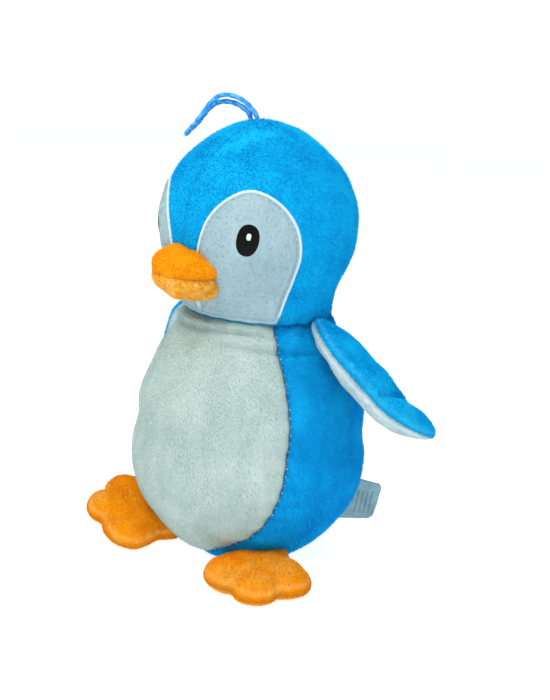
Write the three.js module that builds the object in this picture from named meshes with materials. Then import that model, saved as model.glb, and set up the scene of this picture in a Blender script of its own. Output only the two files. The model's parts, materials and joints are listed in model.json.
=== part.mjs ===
// Stuffed toy penguin, standing: a pear-shaped body, a round hooded head on a stuffed neck,
// two flippers, two flat three-lobed feet, a hanging loop on the crown and a folded care label.
// Millimetres, +Z up. The toy faces -Y and its own left side is +X.
// The origin is the centre of the flat base that it stands on.
// An azimuth is in degrees from the front (-Y) towards the toy's left (+X).

import * as THREE from 'three';
import { ParametricGeometry } from 'three/addons/geometries/ParametricGeometry.js';
import { mergeVertices } from 'three/addons/utils/BufferGeometryUtils.js';

// ---- driving dimensions ----
const FABRIC = 2.0; // short-pile cloth with its backing
const PATCH = 1.0; // cloth of the face patches
const THREAD = 0.5; // height of the embroidery
const LAID = 0.7; // from the hood to the underside of a face patch
const GAP = 0.3; // between neighbouring pieces
const LOOSE = 1.2; // between the stuffing and the cloth round it

const NECK_HEIGHT = 133.4; // top edge of the body's cloth
const NECK_PIVOT = 110; // centre of the ball that the head turns and nods on
const NECK_BALL = 46.6; // radius of that ball
const NECK_CORE = 38; // ball at the top of the body's stuffing
const NECK_BORE = 36.5; // radius of the neck's stuffing

const HEAD_RADIUS = 51.7;
const HEAD_CENTRE = 181.5;
const HEAD_FORWARD = 4; // the head's middle sits this far in front of the neck
const HEAD_RIM = 134.5;

const BASE_RADIUS = 28.4;
const BACK_SEAM = 135; // azimuth of the seams between the side panels and the back

const EYE = { azimuth: 40, height: 179.5, halfWidth: 5.7, halfHeight: 7.9, tilt: 8 };
const GLINT = { azimuth: 40.5, height: 181.3, halfWidth: 1.6, halfHeight: 2.2, tilt: 8 };

const BEAK = { height: 158, halfWidth: 19.5, rise: 13.5, drop: 14.5, tip: 70.5 };

const WING_RISE = 9; // from the wing's seam to its outer face
const WING_DROP = 8; // from the wing's seam to its inner face
// The left wing sticks out; the right one hangs close to the body.
const WINGS = {
  left: { azimuth: 96, radius: 51.8, height: 126.5, yaw: 7, droop: 35, pitch: -22 },
  right: { azimuth: 106, radius: 52, height: 126, yaw: 16, droop: 55, pitch: -4 },
};

const FOOT_RISE = 10; // from the foot's seam to its top
const FOOT_DROP = 5.3; // from the foot's seam to its sole
// The left foot lies flat; the right one is rolled outwards and its toes are up.
const FEET = {
  left: { azimuth: 57, radius: 50.5, height: FOOT_DROP + GAP / 2, forward: 40, roll: 0, lift: 0 },
  right: { azimuth: 40, radius: 52.8, height: 9, forward: 32, roll: 18, lift: 11 },
};

const LABEL = { azimuth: 135, thick: 1 };
const CORD_RADIUS = 1.3;

// Half-width of the belly panel in degrees, against height.
const BELLY_EDGE = smooth([[0, 4], [5, 18], [11, 30], [22, 47], [37, 57], [53, 62], [80, 65],
  [105, 64], [134, 58]]);
// Radius of the body against height.
const BODY_RADIUS = smooth([[0, 31], [6, 39.5], [12, 46], [22, 54], [33, 60.5], [50, 64], [66, 64],
  [84, 61.5], [99, 56.5], [110, 52], [118, 48], [124, 44.4], [134, 40]]);
// Radius of the head below its widest place, against height.
const JAW_RADIUS = smooth([[134.4, 39.8], [140, 41], [150, 44.1], [162, 48.3], [172, 50.7],
  [181.5, 51.7], [190, 51]]);
// Inner and outer edges of a face patch in degrees, against height.
const PATCH_INNER = smooth([[136, 0.5], [148, 0.5], [155, 7], [161, 10.5], [168, 13.5], [177, 15.5],
  [188, 19], [198, 26.5], [203.5, 39]]);
const PATCH_OUTER = smooth([[136, 58], [150, 65], [165, 69.5], [176, 70], [188, 66], [197, 58],
  [203.5, 39]]);

const WING_OUTLINE = [[-6, -13], [-6, 13], [2, 20], [20, 22], [42, 20], [60, 16], [70, 8], [72, -2],
  [66, -12], [48, -19], [22, -22], [2, -20]];
const FOOT_OUTLINE = [[-5, -13], [-5, 13], [1, 23], [9, 28], [19, 27], [25, 20], [25, 12], [33, 8], [36, 1],
  [33, -6], [25, -10], [25, -18], [19, -25], [9, -27], [1, -22]];
// The label's free edge as [distance from the toy's axis, height], from its top corner to its bottom one.
const LABEL_EDGE = [[76, 37.6], [77.2, 36], [77, 30], [75.5, 21], [73.4, 16.4], [71.5, 15.2], [62, 14.2]];

// The cord of the hanging loop, from the crown round the loop and back into the crown.
const LOOP_ROUTE = [[1.2, -11.2, 233.4], [0, -12.2, 236.8], [-2.6, -13.9, 240.2], [-6.6, -16.1, 243.3],
  [-11.6, -19.1, 245], [-16.6, -22.2, 244.4], [-19.7, -25.1, 240.8], [-21.5, -28.5, 235.6],
    [-23.4, -31.3, 230.3],
  [-26.8, -32.8, 226.2], [-30.8, -31.3, 223.6], [-31.9, -27.6, 225.9], [-30.2, -24.6, 229.2],
    [-27, -23.4, 233.6],
  [-23.6, -22, 238], [-19.6, -20, 240.9], [-15.2, -17.8, 241.7], [-10.8, -15.6, 240.9], [-7.2, -13.6, 239],
  [-4.9, -12, 236.6], [-4.1, -11.3, 233.6]];

// ---- finishes ----
const CLOTH_BLUE = finish(0x0a8fd6, 0.9);
const CLOTH_DEEP_BLUE = finish(0x0277c4, 0.9);
const CLOTH_WHITE = finish(0xc4dbd8, 0.9);
const PATCH_WHITE = finish(0xb4d2dc, 0.85);
const CLOTH_ORANGE = finish(0xe29310, 0.85);
const CLOTH_YELLOW = finish(0xf5a30c, 0.85);
const EYE_THREAD = finish(0x152024, 0.6);
const GLINT_THREAD = finish(0xd2dde2, 0.6);
const STUFFING = finish(0xf2f2ee, 1.0);
const CORD_BLUE = finish(0x1d8fe0, 0.8);
const LABEL_TAPE = finish(0xa6c6c9, 0.6);

function finish(color, roughness) {
  return new THREE.MeshStandardMaterial({ color, roughness, metalness: 0 });
}

/** A smooth curve through [position, value] pairs, as a function of position. */
function smooth(pairs) {
  const curve = new THREE.CubicInterpolant(pairs.map((pair) => pair[0]), pairs.map((pair) => pair[1]), 1);
  return (position) => curve.evaluate(position)[0];
}

function steps(count) {
  return Array.from({ length: count + 1 }, (_, index) => index / count);
}

function mix(from, to, share) {
  return from + (to - from) * share;
}

function radians(degrees) {
  return THREE.MathUtils.degToRad(degrees);
}

// ---- closed solids from rings of points ----

/** Merges a geometry's points, drops its empty triangles and turns its faces outwards. */
function closed(geometry) {
  geometry.deleteAttribute('normal');
  geometry.deleteAttribute('uv');
  const merged = mergeVertices(geometry, 1e-4);
  const points = merged.getAttribute('position');
  const corners = Array.from(merged.getIndex().array);
  const kept = [];
  let volume = 0;
  const a = new THREE.Vector3();
  const b = new THREE.Vector3();
  const c = new THREE.Vector3();
  for (let i = 0; i < corners.length; i += 3) {
    const [p, q, r] = corners.slice(i, i + 3);
    if (p === q || q === r || r === p) continue;
    kept.push([p, q, r]);
    a.fromBufferAttribute(points, p);
    b.fromBufferAttribute(points, q);
    c.fromBufferAttribute(points, r);
    volume += a.dot(b.cross(c));
  }
  const outward = kept.flatMap(([p, q, r]) => (volume < 0 ? [p, r, q] : [p, q, r]));
  merged.setIndex(outward);
  merged.computeVertexNormals();
  return merged;
}

/** Skins a row of equal rings; the first and the last ring are closed by rings of their own. */
function skin(rings) {
  const around = rings[0].length;
  const along = rings.length - 1;
  const geometry = new ParametricGeometry((u, v, target) => {
    const ring = rings[Math.round(v * along)];
    target.copy(ring[Math.round(u * around) % around]);
  }, around, along);
  return closed(geometry);
}

/** A body whose rings shrink to a point at both ends. */
function bulb(rings) {
  const pole = (ring) => {
    const centre = new THREE.Vector3();
    ring.forEach((point) => centre.addScaledVector(point, 1 / ring.length));
    return ring.map(() => centre);
  };
  return skin([pole(rings[0]), ...rings, pole(rings.at(-1))]);
}

/** A sheet of even thickness: each row holds the points of its outer and of its inner side. */
function sheet(rows) {
  const loops = rows.map(({ outer, inner }) => [...outer, ...inner.toReversed()]);
  const fold = (loop) => loop.map((point, index) => point.clone().lerp(loop[loop.length - 1 - index], 0.5));
  return skin([fold(loops[0]), ...loops, fold(loops.at(-1))]);
}

/** The same geometry on the other side of the plane x = 0. */
function mirrored(geometry) {
  return closed(geometry.clone().scale(-1, 1, 1));
}

function piece(name, geometry, material) {
  const mesh = new THREE.Mesh(geometry, material);
  mesh.name = name;
  return mesh;
}

// ---- the body's and the head's surfaces ----

/** Point at an azimuth on a surface of rings, moved inwards along the surface's normal. */
function ringPoint(azimuth, height, radiusAt, forwardAt, inset) {
  const slope = (radiusAt(height + 0.1) - radiusAt(height - 0.1)) / 0.2;
  const scale = Math.hypot(1, slope);
  const radius = radiusAt(height) - inset / scale;
  const angle = radians(azimuth);
  return new THREE.Vector3(radius * Math.sin(angle), -radius * Math.cos(angle) - forwardAt(height),
    height + (inset * slope) / scale);
}

function bodyRadius(height) {
  const ball = Math.sqrt(Math.max(NECK_BALL ** 2 - (height - NECK_PIVOT) ** 2, 0));
  return height < 122 ? BODY_RADIUS(height) : Math.min(BODY_RADIUS(height), ball);
}

function bodyPoint(azimuth, height, inset = 0) {
  return ringPoint(azimuth, height, bodyRadius, () => 0, inset);
}

function headRadius(height) {
  if (height < HEAD_CENTRE) return JAW_RADIUS(height);
  return Math.sqrt(Math.max(HEAD_RADIUS ** 2 - (height - HEAD_CENTRE) ** 2, 0));
}

function headForward(height) {
  return HEAD_FORWARD * THREE.MathUtils.smoothstep(height, HEAD_RIM, HEAD_RIM + 30);
}

/** Point on the head, moved inwards; nothing of the head comes inside the ball of the neck. */
function headPoint(azimuth, height, inset = 0) {
  const point = new THREE.Vector3();
  if (height >= HEAD_CENTRE) {
    const angle = radians(azimuth);
    const share = (HEAD_RADIUS - inset) / HEAD_RADIUS;
    const radius = headRadius(height) * share;
    point.set(radius * Math.sin(angle), -radius * Math.cos(angle) - HEAD_FORWARD,
      HEAD_CENTRE + (height - HEAD_CENTRE) * share);
  } else {
    point.copy(ringPoint(azimuth, height, headRadius, headForward, inset));
  }
  return outsideNeckBall(point);
}

function outsideNeckBall(point) {
  const pivot = new THREE.Vector3(0, 0, NECK_PIVOT);
  const reach = NECK_BALL + GAP + 0.05;
  const distance = point.distanceTo(pivot);
  if (distance < reach) point.sub(pivot).multiplyScalar(reach / distance).add(pivot);
  return point;
}

// ---- body ----

/** A cloth panel of the body between two edges, each an azimuth against height. */
function bodyPanel(edgeFrom, edgeTo, columns) {
  const heights = [0, 5, 11, 19, 29, 41, 55, 70, 85, 100, 112, 122, 128, NECK_HEIGHT];
  const rows = heights.map((height) => {
    const seam = THREE.MathUtils.radToDeg(GAP / bodyRadius(height));
    const from = edgeFrom(height) + seam;
    const to = edgeTo(height) - seam;
    const line = (inset) => steps(columns).map((share) => bodyPoint(mix(from, to, share), height, inset));
    return { outer: line(0), inner: line(FABRIC) };
  });
  return sheet(rows);
}

function makeBelly() {
  return piece('belly_panel', bodyPanel((height) => -BELLY_EDGE(height), BELLY_EDGE, 12), CLOTH_WHITE);
}

function makeBodySides() {
  const left = bodyPanel(BELLY_EDGE, () => BACK_SEAM, 7);
  return [
    piece('side_panel_left', left, CLOTH_DEEP_BLUE),
    piece('side_panel_right', mirrored(left), CLOTH_DEEP_BLUE),
    piece('back_panel', bodyPanel(() => BACK_SEAM, () => 360 - BACK_SEAM, 8), CLOTH_DEEP_BLUE),
  ];
}

function makeBase() {
  const disc = new THREE.LatheGeometry([[0, 0], [BASE_RADIUS, 0], [BASE_RADIUS, FABRIC], [0, FABRIC]]
    .map(([radius, height]) => new THREE.Vector2(radius, height)), 40);
  return piece('base_panel', closed(disc.rotateX(Math.PI / 2)), CLOTH_DEEP_BLUE);
}

/** A lathe body about Z from [radius, height] pairs. */
function turned(profile, segments = 24) {
  const points = profile.map(([radius, height]) => new THREE.Vector2(radius, height));
  return closed(new THREE.LatheGeometry(points, segments).rotateX(Math.PI / 2));
}

/** Points of a ball about the neck's pivot, from one radius to another. */
function ballArc(ball, from, to, count) {
  return steps(count).map((share) => {
    const radius = mix(from, to, share);
    return [radius, NECK_PIVOT + Math.sqrt(ball ** 2 - radius ** 2)];
  });
}

function makeBodyStuffing() {
  const inset = FABRIC + LOOSE;
  const side = [9, 16, 25, 36, 50, 66, 84, 99, 112, 122].map((height) => {
    const point = bodyPoint(90, height, inset);
    return [point.x, point.z];
  });
  const floor = FABRIC + GAP;
  const shoulder = 127.2;
  const profile = [[0, floor],
    [BASE_RADIUS, floor], ...side, [38, shoulder], ...ballArc(NECK_CORE, 33.7, 0, 7)];
  return piece('body_stuffing', turned(profile), STUFFING);
}

function makeNeckStuffing() {
  const low = 128.6;
  const top = ballArc(NECK_BALL - GAP, NECK_BORE, 0, 6);
  const under = ballArc(NECK_CORE + LOOSE, 0, 33.8, 6);
  return piece('neck_stuffing', turned([...under, [NECK_BORE, low + 1], ...top]), STUFFING);
}

// ---- head ----

/** Heights down the head: even steps of latitude to its middle, then down to the neck. */
const HEAD_ROWS = [
  ...[5, 15, 27, 40, 53, 66, 78, 90].map((angle) => HEAD_CENTRE + HEAD_RADIUS * Math.cos(radians(angle))),
  171, 160, 150, 141, HEAD_RIM,
];

function hoodHalf() {
  const rows = HEAD_ROWS.map((height) => {
    const line = (inset) => steps(11).map((share) => {
      const point = headPoint(180 * share, height, inset);
      point.x += GAP / 2;
      return point;
    });
    return { outer: line(0), inner: line(FABRIC) };
  });
  return sheet(rows);
}

/** Rows of a face patch or of embroidery are laid on the hood at a height above it. */
function facePatch() {
  const heights = [136, 145, 155, 165, 173, 181, 189, 196, 200.5, 203];
  const rows = heights.map((height) => {
    const line = (lift) => steps(8).map((share) => {
      return headPoint(mix(Math.max(PATCH_INNER(height), 0.5), PATCH_OUTER(height), share), height, -lift);
    });
    return { outer: line(LAID + PATCH), inner: line(LAID) };
  });
  return sheet(rows);
}

/** A flat oval of thread on the face, from one lift above the hood to another. */
function stitchedOval({ azimuth, height, halfWidth, halfHeight, tilt }, low, high) {
  const ringAt = (size, lift) => steps(16).slice(0, 16).map((share) => {
    const turn = 2 * Math.PI * share;
    const along = halfWidth * size * Math.cos(turn);
    const up = halfHeight * size * Math.sin(turn);
    const lean = radians(tilt);
    const across = along * Math.cos(lean) - up * Math.sin(lean);
    const rise = along * Math.sin(lean) + up * Math.cos(lean);
    const degrees = THREE.MathUtils.radToDeg(across / HEAD_RADIUS);
    return headPoint(azimuth - degrees, height + rise, -lift);
  });
  return bulb([ringAt(1, low), ringAt(1, high - 0.2), ringAt(0.85, high)]);
}

function makeFace() {
  const patch = facePatch();
  const eyeLow = LAID + PATCH + 2 * GAP;
  const eye = stitchedOval(EYE, eyeLow, eyeLow + THREAD);
  const glint = stitchedOval(GLINT, eyeLow + THREAD + GAP, eyeLow + 2 * THREAD + GAP);
  return [
    piece('face_patch_left', patch, PATCH_WHITE),
    piece('face_patch_right', mirrored(patch), PATCH_WHITE),
    piece('eye_left', eye, EYE_THREAD),
    piece('eye_right', mirrored(eye), EYE_THREAD),
    piece('eye_glint_left', glint, GLINT_THREAD),
    piece('eye_glint_right', mirrored(glint), GLINT_THREAD),
  ];
}

function makeHood() {
  const half = hoodHalf();
  return [piece('hood_left', half, CLOTH_BLUE), piece('hood_right', mirrored(half), CLOTH_BLUE)];
}

function makeHeadStuffing() {
  const inset = FABRIC + LOOSE;
  const ringAt = (height) => steps(20).slice(0, 20).map((share) => headPoint(360 * share, height, inset));
  const rings = HEAD_ROWS.slice(0, -1).map(ringAt);
  const mouth = rings.at(-1);
  const hollow = [0.8, 0.6, 0.4, 0.2].map((share) => mouth.map((point) => {
    const x = point.x * share;
    const y = point.y * share;
    return new THREE.Vector3(x, y, NECK_PIVOT + Math.sqrt((NECK_BALL + 2 * GAP) ** 2 - x * x - y * y));
  }));
  return piece('head_stuffing', bulb([...rings, ...hollow]), STUFFING);
}

// ---- beak ----

/** The face's surface straight behind a place on the beak, with room in front of the patches. */
function faceDepth(x, height, room) {
  const radius = headRadius(height) + LAID + PATCH + room;
  return -headForward(height) - Math.sqrt(radius ** 2 - x * x);
}

/** Point of the beak: turn goes round its root, reach goes from the root (0) to the tip (1). */
function beakPoint(turn, reach, inset) {
  const rise = Math.sin(turn) > 0 ? BEAK.rise : BEAK.drop;
  const round = Math.sqrt(1 - reach ** 2.8);
  const x = (BEAK.halfWidth - inset) * Math.cos(turn);
  const up = (rise - inset) * Math.sin(turn);
  const root = faceDepth(x, BEAK.height + up, GAP + inset / 5);
  return new THREE.Vector3(x * round, mix(root, -(BEAK.tip - inset),
    reach ** 1.1), BEAK.height + up * round);
}

function beakHalf(side) {
  const rows = [0, 0.25, 0.5, 0.72, 0.88, 0.97, 1].map((reach) => {
    const line = (inset) => steps(10).map((share) => {
      const point = beakPoint(Math.PI * share * side, reach, inset);
      point.z += (side * GAP) / 2;
      return point;
    });
    return { outer: line(0), inner: line(FABRIC) };
  });
  return sheet(rows);
}

function makeBeak() {
  const inset = FABRIC + LOOSE;
  const turns = steps(16).slice(0, 16).map((share) => 2 * Math.PI * share);
  const front = [0, 0.25, 0.5, 0.72, 0.88, 0.97].map((reach) => turns
    .map((turn) => beakPoint(turn, reach, inset)));
  const back = [0.5].map((share) => front[0].map((point) => {
    const x = point.x * share;
    const height = mix(BEAK.height, point.z, share);
    return new THREE.Vector3(x, faceDepth(x, height, LOOSE), height);
  }));
  return [
    piece('beak_upper', beakHalf(1), CLOTH_YELLOW),
    piece('beak_lower', beakHalf(-1), CLOTH_ORANGE),
    piece('beak_stuffing', bulb([...back, ...front]), STUFFING),
  ];
}

// ---- wings and feet: pillows sewn from two halves round a flat seam ----

/** Even points round a closed outline through [x, y] places. */
function outlinePoints(places, count) {
  const curve = new THREE.CatmullRomCurve3(places.map(([x, y]) => new THREE.Vector3(x, y, 0)),
    true, 'centripetal');
  return curve.getSpacedPoints(count).slice(0, count);
}

/** A ring of a pillow: size 1 is its seam, size 0 its middle; the inset thins it all round. */
function pillowRing(outline, centre, size, crown, lift, inset) {
  return outline.map((point) => {
    const arm = point.clone().sub(centre);
    const length = arm.length();
    arm.multiplyScalar((size * (length - inset)) / length);
    const height = Math.sign(crown) * (Math.abs(crown) - inset) * (1 - size ** 2.6) ** 0.55;
    return centre.clone().add(arm).setZ(height + lift);
  });
}

/** One cloth half of a pillow, as a bowl. */
function pillowHalf(outline, centre, crown) {
  const sizes = [0.35, 0.65, 0.85, 0.96, 1];
  const lift = (Math.sign(crown) * GAP) / 2;
  const outer = sizes.map((size) => pillowRing(outline, centre, size, crown, lift, 0));
  const inner = sizes.toReversed().map((size) => pillowRing(outline, centre, size, crown, lift, FABRIC));
  return bulb([...outer, ...inner]);
}

function pillowStuffing(outline, centre, rise, drop) {
  const inset = FABRIC + LOOSE;
  const sizes = [0.4, 0.8];
  const upper = sizes.map((size) => pillowRing(outline, centre, size, rise, 0, inset));
  const rim = pillowRing(outline, centre, 1, rise, 0, inset);
  const lower = sizes.toReversed().map((size) => pillowRing(outline, centre, size, -drop, 0, inset));
  return bulb([...upper, rim, ...lower]);
}

/** Places a limb's pieces at its root seam, on the left or as a mirror image on the right. */
function placeLimb(side, names, geometries, materials, root, turn) {
  const limb = new THREE.Group();
  const flip = side === 'left' ? 1 : -1;
  geometries.forEach((geometry, index) => {
    const shape = flip === 1 ? geometry : mirrored(geometry);
    limb.add(piece(names[index], shape, materials[index]));
  });
  limb.position.set(root.x * flip, root.y, root.z);
  limb.rotation.set(turn.x, turn.y * flip, turn.z * flip, 'ZYX');
  return limb;
}

function makeWing(side) {
  const outline = outlinePoints(WING_OUTLINE, 22);
  const centre = new THREE.Vector3(28, 0, 0);
  const shapes = [
    pillowHalf(outline, centre, WING_RISE),
    pillowHalf(outline, centre, -WING_DROP),
    pillowStuffing(outline, centre, WING_RISE, WING_DROP),
  ];
  const names = [`wing_${side}_outer`, `wing_${side}_inner`, `wing_${side}_stuffing`];
  const { azimuth, radius, height, yaw, droop, pitch } = WINGS[side];
  const angle = radians(azimuth);
  const root = new THREE.Vector3(radius * Math.sin(angle), -radius * Math.cos(angle), height);
  const turn = new THREE.Vector3(radians(pitch), radians(droop), radians(yaw));
  return placeLimb(side, names, shapes, [CLOTH_BLUE, CLOTH_WHITE, STUFFING], root, turn);
}

function makeFoot(side) {
  const outline = outlinePoints(FOOT_OUTLINE, 28);
  const centre = new THREE.Vector3(12.5, 0, 0);
  const shapes = [
    pillowHalf(outline, centre, FOOT_RISE),
    pillowHalf(outline, centre, -FOOT_DROP),
    pillowStuffing(outline, centre, FOOT_RISE, FOOT_DROP),
  ];
  const names = [`foot_${side}_top`, `foot_${side}_sole`, `foot_${side}_stuffing`];
  const { azimuth, radius, height, forward, roll, lift } = FEET[side];
  const angle = radians(azimuth);
  const root = new THREE.Vector3(radius * Math.sin(angle), -radius * Math.cos(angle), height);
  const turn = new THREE.Vector3(radians(roll), radians(-lift), radians(forward - 90));
  return placeLimb(side, names, shapes, [CLOTH_ORANGE, CLOTH_ORANGE, STUFFING], root, turn);
}

// ---- trim ----

/** The hanging loop's cord, an eight-sided tube along its route. */
function makeLoop() {
  const route = new THREE.CatmullRomCurve3(LOOP_ROUTE.map((place) => new THREE.Vector3(...place)));
  const section = new THREE.Shape();
  section.absarc(0, 0, CORD_RADIUS, 0, 2 * Math.PI);
  const tube = new THREE.ExtrudeGeometry(section, { steps: 46, curveSegments: 4, extrudePath: route });
  return piece('hang_loop', closed(tube), CORD_BLUE);
}

/** The care label: a folded tape that stands out from its seam. */
function makeLabel() {
  const clear = -GAP - 0.4;
  const seam = [14, 20, 27, 34, 40].map((height) => {
    const point = bodyPoint(90, height, clear);
    return new THREE.Vector2(point.x, point.z);
  });
  const edge = LABEL_EDGE.map(([radius, height]) => new THREE.Vector2(radius, height));
  const tape = new THREE.ExtrudeGeometry(new THREE.Shape([...seam, ...edge]),
    { depth: LABEL.thick, bevelEnabled: false });
  tape.translate(0, 0, -LABEL.thick / 2);
  tape.rotateX(Math.PI / 2);
  tape.rotateZ(radians(LABEL.azimuth - 90));
  return piece('care_label', closed(tape), LABEL_TAPE);
}

// ---- the toy ----
const penguin = new THREE.Group();
penguin.add(
  makeBelly(),
  ...makeBodySides(),
  makeBase(),
  makeBodyStuffing(),
  makeNeckStuffing(),
  ...makeHood(),
  makeHeadStuffing(),
  ...makeFace(),
  ...makeBeak(),
  makeWing('left'),
  makeWing('right'),
  makeFoot('left'),
  makeFoot('right'),
  makeLoop(),
  makeLabel(),
);

export default penguin;
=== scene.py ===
"""Stuffed toy penguin, sewn from short-pile cloth and filled, in metres.

Z is up. The toy faces -Y and its own left side is +X. An azimuth is an angle
about Z from the toy's front towards its left, in degrees.
"""
import json
import logging
import math
from dataclasses import dataclass, field
from enum import Enum
from typing import Callable, Sequence

import bmesh
import bpy
import numpy as np
from mathutils import Euler, Matrix, Vector
from mathutils.bvhtree import BVHTree


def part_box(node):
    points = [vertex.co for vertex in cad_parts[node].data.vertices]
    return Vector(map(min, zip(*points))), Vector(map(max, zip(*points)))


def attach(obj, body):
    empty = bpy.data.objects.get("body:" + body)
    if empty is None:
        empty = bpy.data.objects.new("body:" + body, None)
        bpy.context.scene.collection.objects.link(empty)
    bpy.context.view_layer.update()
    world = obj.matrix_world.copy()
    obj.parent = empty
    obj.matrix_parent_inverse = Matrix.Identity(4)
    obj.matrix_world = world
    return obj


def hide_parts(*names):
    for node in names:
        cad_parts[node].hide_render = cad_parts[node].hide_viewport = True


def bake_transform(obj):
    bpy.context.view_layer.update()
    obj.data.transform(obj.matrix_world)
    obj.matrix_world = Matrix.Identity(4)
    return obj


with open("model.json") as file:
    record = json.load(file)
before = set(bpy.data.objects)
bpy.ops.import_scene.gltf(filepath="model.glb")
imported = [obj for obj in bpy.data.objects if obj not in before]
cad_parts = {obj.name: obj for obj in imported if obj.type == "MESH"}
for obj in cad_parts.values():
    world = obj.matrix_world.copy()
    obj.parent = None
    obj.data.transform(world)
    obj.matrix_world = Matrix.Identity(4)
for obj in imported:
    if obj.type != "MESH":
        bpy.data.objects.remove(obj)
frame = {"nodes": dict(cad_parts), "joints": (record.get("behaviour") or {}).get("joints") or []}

LOG = logging.getLogger("penguin")
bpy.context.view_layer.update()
MM = 0.001
PILE = "pile"  # attribute: how much pile grows at a point, 0 to 1
PAINTED_SHADING = "worn"  # attribute: up to 1 for painted highlight on a crest or a raised cut edge, down to -1 for painted shade at the bottom of a seam or a tuck


class Side(Enum):
    """The toy's own left and right, as the sign of X."""

    LEFT = 1
    RIGHT = -1

    @property
    def word(self) -> str:
        """The side's name as the pieces' names have it."""
        return self.name.lower()


class Nap(Enum):
    """How long the pile of a cloth is, in metres."""

    PLUSH = 1.5 * MM
    SHORT = 0.9 * MM
    CLIPPED = 0.55 * MM


# ---- numbers ----


class Smooth:
    """A smooth curve through pairs of position and value."""

    def __init__(self, pairs: Sequence[tuple[float, float]]) -> None:
        """Sorts the pairs and works out the slopes.

        Args:
            pairs: Position and value of each point.
        """
        ordered = np.array(sorted(pairs), float)
        self.at, self.value = ordered[:, 0], ordered[:, 1]
        self.slope = np.gradient(self.value, self.at)

    def __call__(self, position: np.ndarray) -> np.ndarray:
        """The curve's value at each position, held level beyond both ends.

        Args:
            position: Any shape of positions.

        Returns:
            Values of the same shape.
        """
        x = np.clip(position, self.at[0], self.at[-1])
        i = np.clip(np.searchsorted(self.at, x) - 1, 0, len(self.at) - 2)
        width = self.at[i + 1] - self.at[i]
        t = (x - self.at[i]) / width
        rise = self.value[i + 1] - self.value[i]
        ease = t * t * (3 - 2 * t)
        start = t * (1 - t) ** 2 * self.slope[i] * width
        end = t * t * (t - 1) * self.slope[i + 1] * width
        return self.value[i] + rise * ease + start + end


def smoothstep(low: float, high: float, x: np.ndarray) -> np.ndarray:
    """0 below low, 1 above high, and smooth between them."""
    t = np.clip((x - low) / (high - low), 0, 1)
    return t * t * (3 - 2 * t)


def bell(distance: np.ndarray, width: float) -> np.ndarray:
    """1 where the distance is nought, falling away over the width."""
    return np.exp(-((distance / width) ** 2))


def lumps(points: np.ndarray, wavelength: float, seed: int) -> np.ndarray:
    """Soft irregular swelling, about -1 to 1, the same at the same place.

    Args:
        points: Places in the row frame.
        wavelength: Size of a swelling, in metres.
        seed: Picks one pattern.

    Returns:
        One value for each point.
    """
    rng = np.random.default_rng(seed)
    total = np.zeros(points.shape[:-1])
    waves = 18
    for _ in range(waves):
        direction = rng.normal(size=3)
        direction *= 2 * np.pi / (wavelength * np.linalg.norm(direction) * rng.uniform(0.8, 1.5))
        total += np.cos(points @ direction + rng.uniform(0, 2 * np.pi))
    return total / math.sqrt(waves)


def gathers(along: np.ndarray, distance: np.ndarray, pitch: float, reach: float) -> np.ndarray:
    """Small puckers that run out from a seam.

    Args:
        along: Distance along the seam.
        distance: Distance from the seam.
        pitch: From one pucker to the next.
        reach: How far they run into the cloth.

    Returns:
        About -1 to 1.
    """
    wander = 1.7 * np.sin(along / (2.3 * pitch)) + 1.1 * np.sin(along / (1.37 * pitch) + 2)
    return np.cos(2 * np.pi * along / pitch + wander) * np.exp(-distance / reach)


def steps(count: int, start: float = 0.0, end: float = 1.0) -> np.ndarray:
    """Even steps from start to end, both of them in."""
    return np.linspace(start, end, count)


def through(knots: np.ndarray, count: int, closed: bool = False) -> np.ndarray:
    """Even points on a smooth curve through knots.

    Args:
        knots: Its points, in two or three dimensions.
        count: How many points to give.
        closed: Whether the curve returns to its first knot.

    Returns:
        The points; a closed curve's last one isn't its first again.
    """
    if closed:
        ring = np.concatenate([knots[-1:], knots, knots[:2]])
    else:
        ring = np.concatenate([2 * knots[:1] - knots[1:2], knots, 2 * knots[-1:] - knots[-2:-1]])
    parts = []
    t = steps(25)[:-1][:, None]
    for a, b, c, d in zip(ring, ring[1:], ring[2:], ring[3:]):
        before, here, after = (math.sqrt(np.linalg.norm(v)) for v in (b - a, c - b, d - c))
        out = here * ((b - a) / before - (c - a) / (before + here) + (c - b) / here)
        into = here * ((c - b) / here - (d - b) / (here + after) + (d - c) / after)
        ease = t * t * (3 - 2 * t)
        parts.append(b + (c - b) * ease + t * (1 - t) ** 2 * out + t * t * (t - 1) * into)
    dense = np.concatenate([*parts, (knots[:1] if closed else knots[-1:])])
    length = np.concatenate([[0], np.cumsum(np.linalg.norm(np.diff(dense, axis=0), axis=1))])
    at = np.linspace(0, length[-1], count + 1)[:-1] if closed else np.linspace(0, length[-1], count)
    return np.stack([np.interp(at, length, dense[:, k]) for k in range(knots.shape[1])], -1)


# ---- meshes ----


def grid_faces(rows: int, columns: int, first: int, wrap: bool) -> np.ndarray:
    """Quads of a grid of points.

    Args:
        rows: Rows of points.
        columns: Points in a row.
        first: Index of the grid's first point.
        wrap: Whether each row closes on itself.

    Returns:
        Four indices for each quad.
    """
    r, c = np.meshgrid(np.arange(rows - 1), np.arange(columns if wrap else columns - 1), indexing="ij")
    n = (c + 1) % columns
    quads = np.stack([r * columns + c, r * columns + n, (r + 1) * columns + n, (r + 1) * columns + c], -1)
    return quads.reshape(-1, 4) + first


def normals_of(grid: np.ndarray, wrap: bool) -> np.ndarray:
    """Unit normals of a grid of points.

    Args:
        grid: Rows of points.
        wrap: Whether each row closes on itself.

    Returns:
        A normal for each point.
    """
    down = np.gradient(grid, axis=0)
    if wrap:
        across = np.roll(grid, -1, 1) - np.roll(grid, 1, 1)
    else:
        across = np.gradient(grid, axis=1)
    normal = np.cross(across, down)
    length = np.linalg.norm(normal, axis=-1, keepdims=True)
    return normal / np.maximum(length, 1e-12)


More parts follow.
